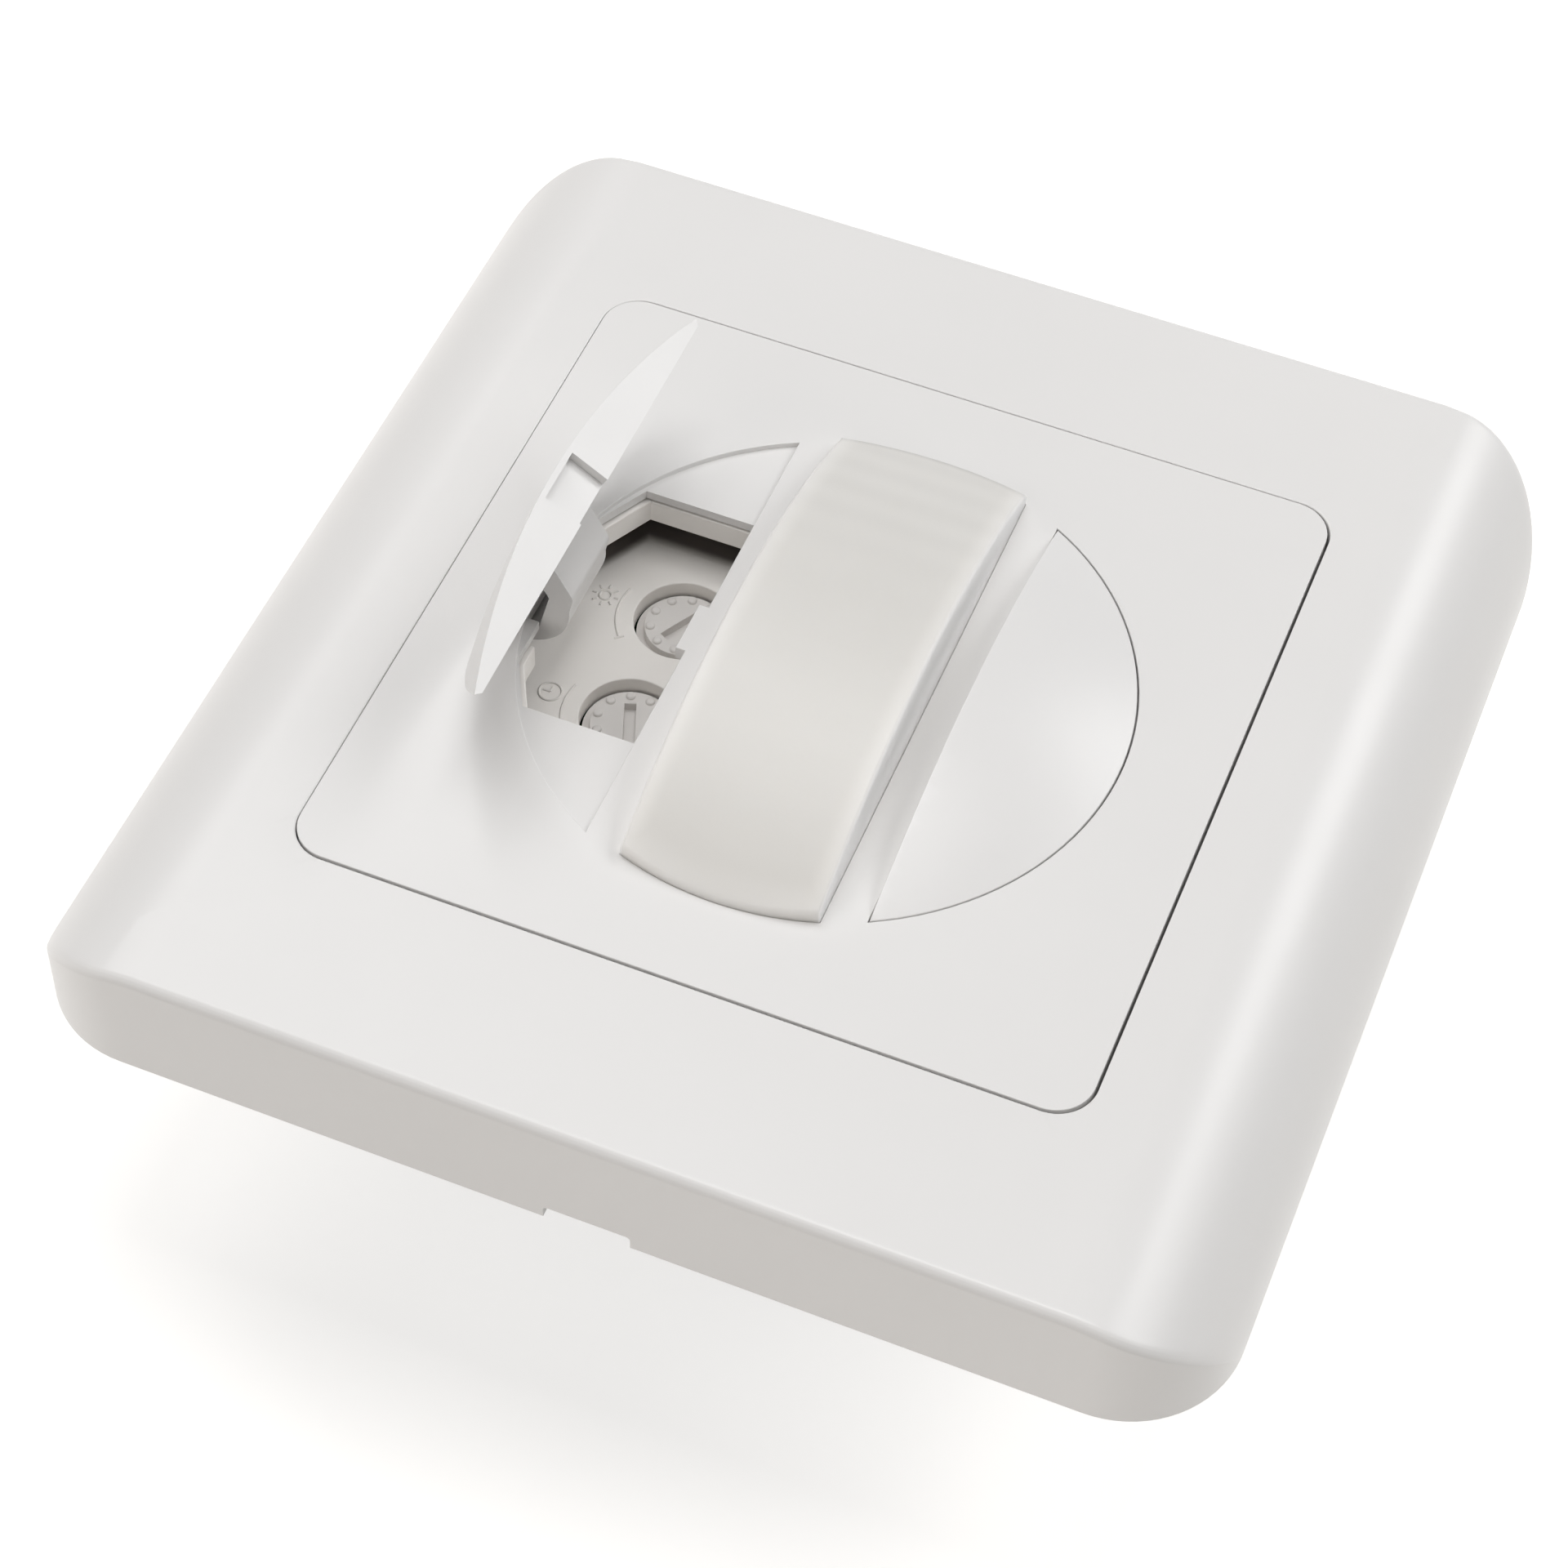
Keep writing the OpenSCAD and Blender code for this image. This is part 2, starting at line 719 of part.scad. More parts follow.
module flap_shell() {
    r = face_r - rim_gap;
    edge = chord_x + rim_gap;
    low = top - rim_t;
    difference() {
        intersection() {
            mirror([1, 0, 0])
                segment(r, edge, low, dome_head);
            rod_with_bevel(r, low);
            dome(dome_r);
        }
        intersection() {
            mirror([1, 0, 0])
                segment(r - 2 * dome_skin, edge + chord_face_wall, low - over, dome_head);
            dome(dome_r - dome_skin);
        }
        translate([-edge - latch_depth / 2 + eps, 0, 0])
            block(latch_depth + eps, latch_w, low - over, low + latch_h);
    }
}

// Disc whose lower rim is cut back at 45 degrees, so that it lifts clear of the recess
module rod_with_bevel(r, low) {
    rotate_extrude()
        polygon([[0, low], [r - rim_t, low], [r, low + rim_t], [r, dome_head], [0, dome_head]]);
}

// Bend of the arm, thicker at the elbow under its leg
module neck_form() {
    elbow = [for (angle = [70, 60, 50, 40, 30])
        [elbow_x, -elbow_drop] + elbow_r * [cos(angle), -sin(angle)]];
    root = elbow[4] + 1.2 * ([leg_out, 0] - elbow[4]);
    cylinder(r = neck_out, h = arm_w);
    linear_extrude(arm_w)
        polygon(concat([[0, 0], 0.97 * neck_out * [cos(78), -sin(78)]], elbow, [root, [0, root[1]]]));
}

// Hollow of the bend, with one flat side under the leg
module neck_bore() {
    a = neck_r * [cos(37), -sin(37)];
    b = neck_r * [cos(107), -sin(107)];
    translate([0, 0, -over])
        difference() {
            cylinder(r = neck_r, h = arm_w + 2 * over);
            linear_extrude(arm_w + 2 * over)
                polygon([1.2 * a - 0.2 * b, 1.2 * b - 0.2 * a, 2 * b, 2 * a]);
        }
}

module gooseneck() {
    intersection() {
        union() {
            translate([-neck_x, arm_w / 2, neck_z])
                rotate([90, 0, 0])
                    difference() {
                        neck_form();
                        neck_bore();
                        neck_gap();
                    }
            translate([-neck_x + neck_r + leg_t / 2, 0, 0])
                block(leg_t - 2 * leg_step, arm_w, neck_z - eps, dome_head);
        }
        dome(dome_r - dome_skin / 2);
    }
    translate([-hinge_x, arm_w / 2, hinge_z])
        rotate([90, 0, 0])
            cylinder(r = hub_r, h = arm_w);
    translate([-hinge_x, trunnion_l / 2, hinge_z])
        rotate([90, 0, 0])
            cylinder(r = trunnion_r, h = trunnion_l);
}

// Part of the neck's ring that is left open, from the arm's root round to the hinge
module neck_gap() {
    reach = 3 * neck_out;
    translate([0, 0, -over])
        linear_extrude(arm_w + 2 * over)
            polygon([[0, 0], [reach, 0], [reach, reach], [-reach, reach],
                [-reach, -reach * tan(neck_end)]]);
}

module settings_flap() {
    color([0.91, 0.9, 0.88])
        translate([-hinge_x, 0, hinge_z])
            rotate([0, -open_angle, 0])
                translate([hinge_x, 0, -hinge_z]) {
                    flap_shell();
                    gooseneck();
                }
}

// Override button

module override_button() {
    r = face_r - button_gap;
    edge = chord_x + button_gap;
    post_low = board_top + tact_h + plunger_h + seat;
    color([0.9, 0.89, 0.87])
        intersection() {
            union() {
                difference() {
                    union() {
                        segment(r, edge, button_under, dome_head);
                        segment(face_r + button_flange, chord_x - button_flange, button_under,
                            button_flange_top);
                    }
                    intersection() {
                        segment(r - dome_skin, edge + dome_skin, button_under - over, dome_head);
                        dome(dome_r - dome_skin);
                    }
                }
                translate([button_x, 0, 0])
                    rod(button_post_r, post_low, dome_head);
            }
            dome(dome_r);
        }
}

// Lens

module lens_vault(r) {
    translate([-face_r, 0, vault_z])
        rotate([0, 90, 0])
            cylinder(r = r, h = 2 * face_r, $fn = 192);
}

module lens_row_cuts() {
    ceiling_r = vault_r - lens_wall;
    half_w = lens_w / 2 - lens_wall;
    for (row = [1 : lens_rows - 2]) {
        y = (row - (lens_rows - 1) / 2) * lens_row_pitch;
        turn = asin(y / ceiling_r);
        translate([-half_w, 0, vault_z])
            rotate([-turn, 0, 0])
                translate([0, 0, ceiling_r + lens_row_depth - lens_row_r])
                    rotate([0, 90, 0])
                        cylinder(r = lens_row_r, h = 2 * half_w);
    }
}

module fresnel_lens() {
    half_w = lens_w / 2 - lens_gap;
    r = face_r - lens_gap;
    color([0.86, 0.86, 0.85, 0.8])
        difference() {
            union() {
                intersection() {
                    band(r, half_w, lens_flange_under, lens_head);
                    lens_vault(vault_r);
                }
                band(face_r + lens_flange, lens_w / 2 + lens_flange, lens_flange_under, plate_under);
            }
            intersection() {
                band(r - lens_wall, half_w - lens_wall, lens_flange_under - over, lens_head);
                union() {
                    lens_vault(vault_r - lens_wall);
                    lens_row_cuts();
                }
            }
        }
}

module lens_holder() {
    color([0.25, 0.25, 0.26])
        difference() {
            band(face_r + lens_flange, lens_w / 2 + lens_flange, deck_top, lens_flange_under);
            band(face_r - lens_wall, lens_w / 2 - lens_wall, deck_top - over, lens_flange_under + over);
        }
}

// Sensor carrier

// Wall round the pocket, open at its straight edge and at the hinge
module pocket_ring(low, high) {
    difference() {
        pocket_prism(collar_wall, low, high);
        pocket_prism(0, low - over, high + over);
        translate([-chord_x - seat, -2 * pocket_half, low - over])
            cube([2 * chord_x, 4 * pocket_half, high - low + 2 * over]);
        translate([-pocket_far, 0, 0])
            block(4 * collar_wall, 2 * (lug_y + lug_t), low - over, high + over);
    }
}

// Collar on two posts that stand outside it, out of sight
module pocket_collar() {
    high = plate_under - collar_seam;
    post_y = pocket_half + collar_wall + collar_post_out + collar_post / 2;
    arm_y = pocket_half + collar_wall / 2;
    pocket_ring(high - collar_h, high);
    for (side = [-1, 1])
        translate([-(chord_x + pocket_far) / 2, 0, 0]) {
            translate([0, side * post_y, 0])
                block(collar_post, collar_post, deck_top - eps, high);
            translate([0, side * (arm_y + post_y) / 2, 0])
                block(collar_post, post_y - arm_y, high - collar_arm_t, high);
        }
}

module at_dials() {
    for (side = [-1, 1])
        translate([-dial_x, side * dial_pitch / 2, 0])
            children();
}

module sensor_carrier() {
    foot_inner = carrier_foot - 2 * carrier_wall;
    screw_at = housing_screw_pitch / 2;
    color([0.8, 0.79, 0.77])
        difference() {
            union() {
                slab(carrier, carrier, insert_corner_r, deck_under, deck_top);
                difference() {
                    slab(carrier_foot, carrier_foot, insert_corner_r, yoke_t, deck_under + eps);
                    slab(foot_inner, foot_inner, insert_corner_r, yoke_t - over, deck_under + eps);
                }
                at_corners(screw_at, screw_at)
                    rod(boss_r, yoke_t, deck_under + eps);
                at_corners(board_post_x, board_post_y)
                    rod(board_post_r, board_top, deck_under + eps);
                pocket_collar();
            }
            at_dials()
                rod(dial_well_r, deck_under - over, deck_top + over);
            rod(pir_r + pir_flange + pass, deck_under - over, deck_top + over);
            translate([0, light_y, 0])
                rod(light_r + pass, deck_under - over, deck_top + over);
            translate([button_x, 0, 0])
                block(tact + 2 * pass, tact + 2 * pass, deck_under - over, deck_top + over);
            at_corners(screw_at, screw_at)
                rod(housing_screw_r + screw_clear, yoke_t - over, deck_top + over);
            at_corners(board_post_x, board_post_y)
                rod(board_screw_r + thread_clear, board_top - over, board_under + board_screw_l + thread_clear);
        }
}

// Dials and their potentiometers

module dial(slot_angle) {
    color([0.84, 0.83, 0.81])
        difference() {
            union() {
                rod(dial_face_r, dial_top - dial_t, dial_top);
                rod(dial_r, dial_top - dial_t, dial_top - dial_step);
                rod(dial_shaft_r, board_top + pot_floor + seat, dial_top - dial_t + eps);
                for (i = [0 : dial_dots - 1])
                    rotate([0, 0, slot_angle + 360 * i / dial_dots])
                        translate([dial_dot_ring, 0, 0])
                            rod(dial_dot_r, dial_top - eps, dial_top + dial_dot_h);
            }
            rotate([0, 0, slot_angle])
                block(dial_slot_l, dial_slot_w, dial_top - dial_slot_d, dial_top + over);
        }
}

module lux_dial() {
    translate([-dial_x, dial_pitch / 2, 0])
        dial(lux_angle);
}

module time_dial() {
    translate([-dial_x, -dial_pitch / 2, 0])
        dial(time_angle);
}

module potentiometer() {
    color([0.15, 0.3, 0.6])
        difference() {
            block(pot, pot, board_top, board_top + pot_h);
            rod(dial_shaft_r + dial_shaft_clear, board_top + pot_floor, board_top + pot_h + over);
        }
}

module lux_potentiometer() {
    translate([-dial_x, dial_pitch / 2, 0])
        potentiometer();
}

module time_potentiometer() {
    translate([-dial_x, -dial_pitch / 2, 0])
        potentiometer();
}

// Control board and what stands on it

module control_board() {
    color([0.1, 0.4, 0.2])
        difference() {
            slab(board, board, board_corner_r, board_under, board_top);
            at_corners(board_post_x, board_post_y)
                rod(board_screw_r + screw_clear, board_under - over, board_top + over);
        }
}

module board_screws() {
    color("silver")
        at_corners(board_post_x, board_post_y)
            mirror([0, 0, 1])
                screw(board_screw_r, board_screw_head_r, board_screw_head_h, -board_under,
                    -board_under - board_screw_l);
}

module pir_sensor() {
    high = board_top + pir_h;
    color([0.75, 0.73, 0.68])
        difference() {
            union() {
                rod(pir_r + pir_flange, board_top, board_top + pir_flange_h);
                rod(pir_r, board_top, high);
            }
            block(pir_window_x, pir_window_y, high - window_t, high + over);
        }
}

module pir_window() {
    high = board_top + pir_h;
    color([0.1, 0.1, 0.12])
        block(pir_window_x - 2 * seat, pir_window_y - 2 * seat, high - window_t, high);
}

module light_sensor() {
    color([0.8, 0.85, 0.9])
        translate([0, light_y, 0]) {
            rod(light_r, board_top, board_top + light_h - light_r);
            translate([0, 0, board_top + light_h - light_r])
                sphere(light_r);
        }
}

module tact_switch() {
    high = board_top + tact_h;
    bore_r = plunger_r + thread_clear;
    color([0.12, 0.12, 0.12])
        translate([button_x, 0, 0])
            difference() {
                block(tact, tact, board_top, high);
                rod(bore_r, high - 2 * plunger_h - button_travel, high + over);
            }
}

module tact_plunger() {
    high = board_top + tact_h;
    color([0.85, 0.85, 0.8])
        translate([button_x, 0, 0])
            rod(plunger_r, high - plunger_h, high + plunger_h);
}

module control_chip() {
    color([0.1, 0.1, 0.1])
        translate([chip_at[0], chip_at[1], 0])
            block(chip, chip, board_top, board_top + chip_h);
}

// Power board and what stands on it

module power_board() {
    color([0.1, 0.4, 0.2])
        slab(board, board, board_corner_r, power_under, power_top);
}

module board_header() {
    color([0.1, 0.1, 0.1])
        translate([0, header_y, 0]) {
            block(pins * pin_pitch, header_w, power_top, power_top + header_w);
            for (i = [0 : pins - 1])
                translate([(i - (pins - 1) / 2) * pin_pitch, 0, 0])
                    rod(pin_r, power_top + header_w - eps, board_under);
        }
}

module relay() {
    color([0.12, 0.25, 0.5])
        translate([relay_at[0], relay_at[1], 0])
            block(relay_x, relay_y, power_top, power_top + relay_h);
}

module film_capacitor() {
    color([0.75, 0.6, 0.15])
        translate([film_at[0], film_at[1], 0])
            block(film_x, film_y, power_top, power_top + film_h);
}

module reservoir_capacitor() {
    color([0.15, 0.15, 0.2])
        translate([reservoir_at[0], reservoir_at[1], 0])
            rod(reservoir_r, power_top, power_top + reservoir_h);
}

module fuse() {
    color([0.3, 0.12, 0.1])
        translate([fuse_at[0], fuse_at[1], 0])
            rod(fuse_r, power_top, power_top + fuse_h);
}

module varistor() {
    color([0.15, 0.25, 0.6])
        translate([varistor_at[0], varistor_at[1], 0]) {
            translate([0, varistor_t / 2, power_top + varistor_leg + varistor_r])
                rotate([90, 0, 0])
                    cylinder(r = varistor_r, h = varistor_t);
            block(varistor_r, varistor_t / 3, power_top, power_top + varistor_leg + varistor_r);
        }
}

// Terminals

module at_ways() {
    for (i = [0 : ways - 1])
        translate([(i - (ways - 1) / 2) * way_pitch, 0, 0])
            children();
}

module terminal_block() {
    color([0.85, 0.85, 0.83])
        difference() {
            translate([0, block_mid_y, 0])
                block(block_x, block_y, rear, power_under);
            at_ways() {
                translate([0, wire_y, 0])
                    rod(wire_r, rear - over, clamp_z + eps);
                translate([0, screw_y, 0])
                    rod(terminal_screw_r + screw_clear, rear - over, clamp_z + eps);
                translate([0, block_mid_y, 0])
                    block(clamp_x + 2 * seat, clamp_y + 2 * seat, clamp_z, power_under + over);
            }
        }
}

module terminal_clamps() {
    color([0.8, 0.65, 0.3])
        at_ways()
            difference() {
                translate([0, block_mid_y, 0])
                    block(clamp_x, clamp_y, clamp_z, clamp_z + clamp_t);
                translate([0, screw_y, 0])
                    rod(terminal_thread_r + thread_clear, clamp_z - over, power_under);
            }
}

module terminal_screws() {
    color("silver")
        at_ways()
            translate([0, screw_y, 0])
                mirror([0, 0, 1])
                    screw(terminal_thread_r, terminal_screw_r, terminal_head_h, -clamp_z,
                        -clamp_z - clamp_t - seat);
}

// Yoke, housing and the screws through both

module box_slot() {
    half = (box_slot_l - box_slot_w) / 2;
    block(2 * half, box_slot_w, -over, yoke_t + over);
    for (side = [-1, 1])
        translate([side * half, 0, 0])
            rod(box_slot_w / 2, -over, yoke_t + over);
}

module mounting_yoke() {
    color([0.7, 0.71, 0.72])
        difference() {
            slab(yoke, yoke, yoke_corner_r, 0, yoke_t);
            slab(yoke_opening, yoke_opening, yoke_opening_r, -over, yoke_t + over);
            for (turn = [0 : 90 : 270])
                rotate([0, 0, turn])
                    translate([box_spacing / 2, 0, 0])
                        box_slot();
            at_corners(housing_screw_pitch / 2, housing_screw_pitch / 2)
                rod(housing_screw_r + screw_clear, -over, yoke_t + over);
        }
}

module rear_housing() {
    inner = housing - 2 * housing_wall;
    inner_r = housing_corner_r - housing_wall;
    screw_at = housing_screw_pitch / 2;
    color([0.2, 0.2, 0.21])
        difference() {
            union() {
                difference() {
                    slab(housing, housing, housing_corner_r, rear, 0);
                    slab(inner, inner, inner_r, rear + housing_wall, 1);
                }
                at_corners(screw_at, screw_at)
                    rod(boss_r, -boss_l, 0);
                for (turn = [0, 90, 180])
                    rotate([0, 0, turn])
                        translate([inner / 2 - rest_t / 2, 0, 0])
                            block(rest_t + 2 * eps, rest_w, rear + eps, power_under);
            }
            translate([0, block_mid_y, 0])
                block(block_x + 2 * seat, block_y + 2 * seat, rear - over, rear + housing_wall + over);
            at_corners(screw_at, screw_at)
                rod(housing_screw_r + thread_clear, -boss_l - over, 1);
        }
}

module housing_screws() {
    color("silver")
        at_corners(housing_screw_pitch / 2, housing_screw_pitch / 2)
            screw(housing_screw_r, housing_screw_head_r, housing_screw_head_h, deck_top, -housing_screw_bite);
}

cover_frame();
centre_plate();
settings_flap();
override_button();
fresnel_lens();
lens_holder();
sensor_carrier();
lux_dial();
time_dial();
lux_potentiometer();
time_potentiometer();
control_board();
board_screws();
pir_sensor();
pir_window();
light_sensor();
tact_switch();
tact_plunger();
control_chip();
power_board();
board_header();
relay();
film_capacitor();
reservoir_capacitor();
fuse();
varistor();
terminal_block();
terminal_screws();
terminal_clamps();
mounting_yoke();
rear_housing();
housing_screws();
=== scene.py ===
"""Looks of a flush wall light switch with a motion sensor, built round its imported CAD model."""

import json
import math

import bmesh
import bpy
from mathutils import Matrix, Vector


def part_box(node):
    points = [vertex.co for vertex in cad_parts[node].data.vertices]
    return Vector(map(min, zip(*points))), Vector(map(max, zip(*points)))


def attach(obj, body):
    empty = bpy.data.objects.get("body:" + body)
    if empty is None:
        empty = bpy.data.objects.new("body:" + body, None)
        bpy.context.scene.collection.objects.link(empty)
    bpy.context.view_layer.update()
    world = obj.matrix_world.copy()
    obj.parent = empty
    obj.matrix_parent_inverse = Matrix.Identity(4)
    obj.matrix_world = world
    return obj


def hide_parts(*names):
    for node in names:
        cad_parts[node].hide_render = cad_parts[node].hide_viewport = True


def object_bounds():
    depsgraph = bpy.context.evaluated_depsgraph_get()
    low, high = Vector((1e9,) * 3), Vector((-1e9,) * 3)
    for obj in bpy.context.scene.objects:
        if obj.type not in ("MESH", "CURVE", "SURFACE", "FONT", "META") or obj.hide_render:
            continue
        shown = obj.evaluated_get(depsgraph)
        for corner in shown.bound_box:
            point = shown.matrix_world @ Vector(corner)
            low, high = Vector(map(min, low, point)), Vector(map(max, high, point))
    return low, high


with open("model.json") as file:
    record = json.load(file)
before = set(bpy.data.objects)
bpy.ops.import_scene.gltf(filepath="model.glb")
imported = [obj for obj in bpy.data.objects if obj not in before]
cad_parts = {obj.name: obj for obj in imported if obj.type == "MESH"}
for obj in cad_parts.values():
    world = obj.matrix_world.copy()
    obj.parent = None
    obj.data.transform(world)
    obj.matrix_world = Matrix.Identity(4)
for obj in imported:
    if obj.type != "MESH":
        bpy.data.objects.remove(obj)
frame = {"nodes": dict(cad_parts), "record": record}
cad_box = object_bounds()

# Sizes are in millimetres and angles in degrees, and MM turns them into the frame's metres
MM = 0.001

# Camera, solved from the square plate in the photograph
PHOTO_SIDE = 1920
FOCAL_PX = 4671.5
SENSOR = 36.0
CAMERA_AT = (52.75, -156.28, 208.29)
CAMERA_TURN = (37.973, -1.754, 21.861)
CAMERA_NEAREST = 10.0

# Cover frame
FRAME_CORNER = 8.0
FRAME_EDGE = 0.7
FRAME_WALL = 2.0
SHOULDER_SINK = 0.15
PLATE_GAP = 0.13
PLATE_CORNER = 2.75
OPENING_SHIFT = Vector((0.08, -0.06))
OPENING_EDGE = 0.1
INNER_WALL_FOOT = 1.2
PRY_WIDTH = 6.0
PRY_HEIGHT = 1.1
PRY_ROUND = 0.3
PRY_STEPS = 4

# Mesh of the cover frame: steps along each corner and side, and turns between rings on its rounds
CORNER_STEPS = 18
SIDE_STEPS = 44
SHOULDER_TURN = 5
EDGE_TURN = 15
FRAME_WELD = 0.002
FRAME_SLIVER = 0.001
FRAME_SHARP = 40

# Rounded edges of the other pieces, and how far below a piece's top these edges lie
PLATE_ROUND = 0.07
BUTTON_ROUND = 0.06
LENS_ROUND = 0.3
DECK_ROUND = 0.1
DOT_ROUND = 0.16
DIAL_ROUND = 0.05
FOOT_ROUND = 0.5
TOP_DEPTH = 0.1
DOT_DEPTH = 0.05
RIM_DEPTH = 0.5

# Mesh of the rounded pieces
ROUND_STEPS = 3
ROUND_ANGLE = 30
WELD = 0.0005
FLAT_ANGLE = 0.05
SHARP = 50

# How the button and the lens fill their gaps
BUTTON_STRETCH = (1.003, 1.003, 1)
BUTTON_SHIFT = (-0.06, -0.06, 0)
LENS_STRETCH = (1.01, 1.0033, 1)

# Lens, from the middle of the face to its long sides and to its ends, where light and shadow are painted, and
# the rows in its far half
LENS_SIDE = 6.95
LENS_END = 21.0
LENS_HALF_BLEND = 2.0
LENS_DEPTH = 1.5
LENS_ROW = 3.0
ROWS_START = 2.0
ROWS_FULL = 15.0
WAVE_LENGTH = 0.314

# Deck of the pocket, from the middle to the pocket's sides and cut corners, past which shade is painted on
# the deck
POCKET_SIDE = 10.5
POCKET_CORNER = 20.55
POCKET_CORNER_SIDE = Vector((-0.885, 0.466, 0))
POCKET_FADE = (0.1, 1.0)
DECK_TOP = 4.05

# Marks on the deck
MARK_X = -18.7
MARK_STROKE = 0.09
ARC_STEPS = 24
SUN_RADIUS = 0.42
SUN_RAY = (0.66, 0.98)
SUN_RAY_TURN = 45
CLOCK_RADIUS = 0.8
CLOCK_HANDS = ((0.55, 180), (0.4, 90))
SCALE_RADIUS = 4.75
SCALE_START = 165
SCALE_END = 222
SCALE_TICK = (4.4, 5.1)

# Lamps: the direction that each shines from, its width and its watts
LAMP_DISTANCE = 1200.0
LAMPS = {
    "back_lamp": (Vector((0.45, 0.62, 0.64)), 380.0, 2.6),
    "left_lamp": (Vector((-0.45, 0.35, 0.82)), 580.0, 3.2),
    "right_lamp": (Vector((0.7, 0.25, 0.67)), 580.0, 3.4),
    "top_lamp": (Vector((0, 0.15, 0.99)), 580.0, 4.65),
}

# Sky, lit on one side, and floor
SKY_SIDE = Vector((-0.55, -0.835, 0))
SKY_TINT = (1.45, 1.395, 1.345)
FLOOR_SIDE = 3000.0
FLOOR_TONE = (0.80, 0.78, 0.75, 1)
FLOOR_ROUGH = 0.9
FLOOR_GLOW = 0.62

# Grains and blotches of the plastics, and streaks and patches of the metals
GRAIN = 0.25
GRAIN_DEPTH = 0.004
TONE = 0.012
BLOTCH = 14.0
STREAK = 0.2
STREAK_LENGTHS = (25, 1, 1)
STREAK_DEPTH = 0.003
PATCH = 6.0
CLOUD = 9.0
LENS_GRAIN = 0.3
LENS_GRAIN_DEPTH = 0.003
TRACK = 5.0
TRACK_DEPTH = 0.02


def linear(channel):
    """One sRGB channel from 0 to 1 as linear light."""
    return channel / 12.92 if channel <= 0.04045 else ((channel + 0.055) / 1.055) ** 2.4


def colour(red, green, blue):
    """An sRGB colour from 0 to 255 as Blender's linear RGBA."""
    return (*(linear(c / 255) for c in (red, green, blue)), 1.0)


def shade(rgba, factor):
    return (*(min(1.0, c * factor) for c in rgba[:3]), 1.0)


# Shader nodes

def feed(tree, value, place):
    """Links a socket to a node's input, or sets the input to a plain value."""
    if isinstance(value, bpy.types.NodeSocket):
        tree.links.new(value, place)
    else:
        place.default_value = value


def object_place(tree):
    return tree.nodes.new("ShaderNodeTexCoord").outputs["Object"]


def split(tree, vector):
    """The X, Y and Z of a vector."""
    node = tree.nodes.new("ShaderNodeSeparateXYZ")
    tree.links.new(vector, node.inputs["Vector"])
    return node.outputs


def flat_vector(tree, x, y):
    node = tree.nodes.new("ShaderNodeCombineXYZ")
    tree.links.new(x, node.inputs["X"])
    tree.links.new(y, node.inputs["Y"])
    return node.outputs["Vector"]


def measure(tree, operation, vector, *others):
    """A number worked out from a vector, such as its length or its dot product with another."""
    node = tree.nodes.new("ShaderNodeVectorMath")
    node.operation = operation
    for value, place in zip((vector, *others), node.inputs):
        feed(tree, value, place)
    return node.outputs["Value"]


def maths(tree, operation, *values):
    """The result of a sum on one or two sockets or numbers."""
    node = tree.nodes.new("ShaderNodeMath")
    node.operation = operation
    for value, place in zip(values, node.inputs):
        feed(tree, value, place)
    return node.outputs["Value"]


def between(tree, factor, low, high):
    """A colour that goes from low to high with the factor, where each is a colour or a socket."""
    mix = tree.nodes.new("ShaderNodeMix")
    mix.data_type = "RGBA"
    feed(tree, low, mix.inputs["A"])
    feed(tree, high, mix.inputs["B"])
    tree.links.new(factor, mix.inputs["Factor"])
    return mix.outputs["Result"]


def ramp(tree, length, start_mm, end_mm, most=1.0):
    """Goes softly from 0 to most while a length in the object's coordinates goes from start to end."""
    node = tree.nodes.new("ShaderNodeMapRange")
    node.interpolation_type = "SMOOTHSTEP"
    node.inputs["From Min"].default_value = start_mm * MM
    node.inputs["From Max"].default_value = end_mm * MM
    node.inputs["To Max"].default_value = most
    tree.links.new(length, node.inputs["Value"])
    return node.outputs["Result"]


def scaled(tree, factor, low=0.0, high=1.0):
    """Noise, which lies round a half, mapped from low to high."""
    spread = tree.nodes.new("ShaderNodeMapRange")
    spread.clamp = False
    spread.inputs["From Min"].default_value = 0.1
    spread.inputs["From Max"].default_value = 0.9
    spread.inputs["To Min"].default_value = low
    spread.inputs["To Max"].default_value = high
    tree.links.new(factor, spread.inputs["Value"])
    return spread.outputs["Result"]


def noise(tree, size_mm, detail=3.0, stretch=(1, 1, 1)):
    """Noise in the object's own coordinates, with grains of about size_mm, stretched along the axes."""
    spread = tree.nodes.new("ShaderNodeMapping")
    spread.inputs["Scale"].default_value = [1 / s for s in stretch]
    texture = tree.nodes.new("ShaderNodeTexNoise")
    texture.inputs["Scale"].default_value = 1 / (size_mm * MM)
    texture.inputs["Detail"].default_value = detail
    tree.links.new(object_place(tree), spread.inputs["Vector"])
    tree.links.new(spread.outputs["Vector"], texture.inputs["Vector"])
    return texture.outputs["Fac"]


# Materials

def new_material(name):
    material = bpy.data.materials.new(name)
    material.use_nodes = True
    tree = material.node_tree
    return material, tree, tree.nodes["Principled BSDF"]


def paint(tree, shader, tone):
    tree.links.new(tone, shader.inputs["Base Color"])


def uneven_gloss(tree, shader, texture, rough, spread):
    tree.links.new(scaled(tree, texture, rough - spread, rough + spread), shader.inputs["Roughness"])


def bump(tree, shader, height, depth_mm, strength=1.0):
    node = tree.nodes.new("ShaderNodeBump")
    node.inputs["Strength"].default_value = strength
    node.inputs["Distance"].default_value = depth_mm * MM
    tree.links.new(height, node.inputs["Height"])
    tree.links.new(node.outputs["Normal"], shader.inputs["Normal"])


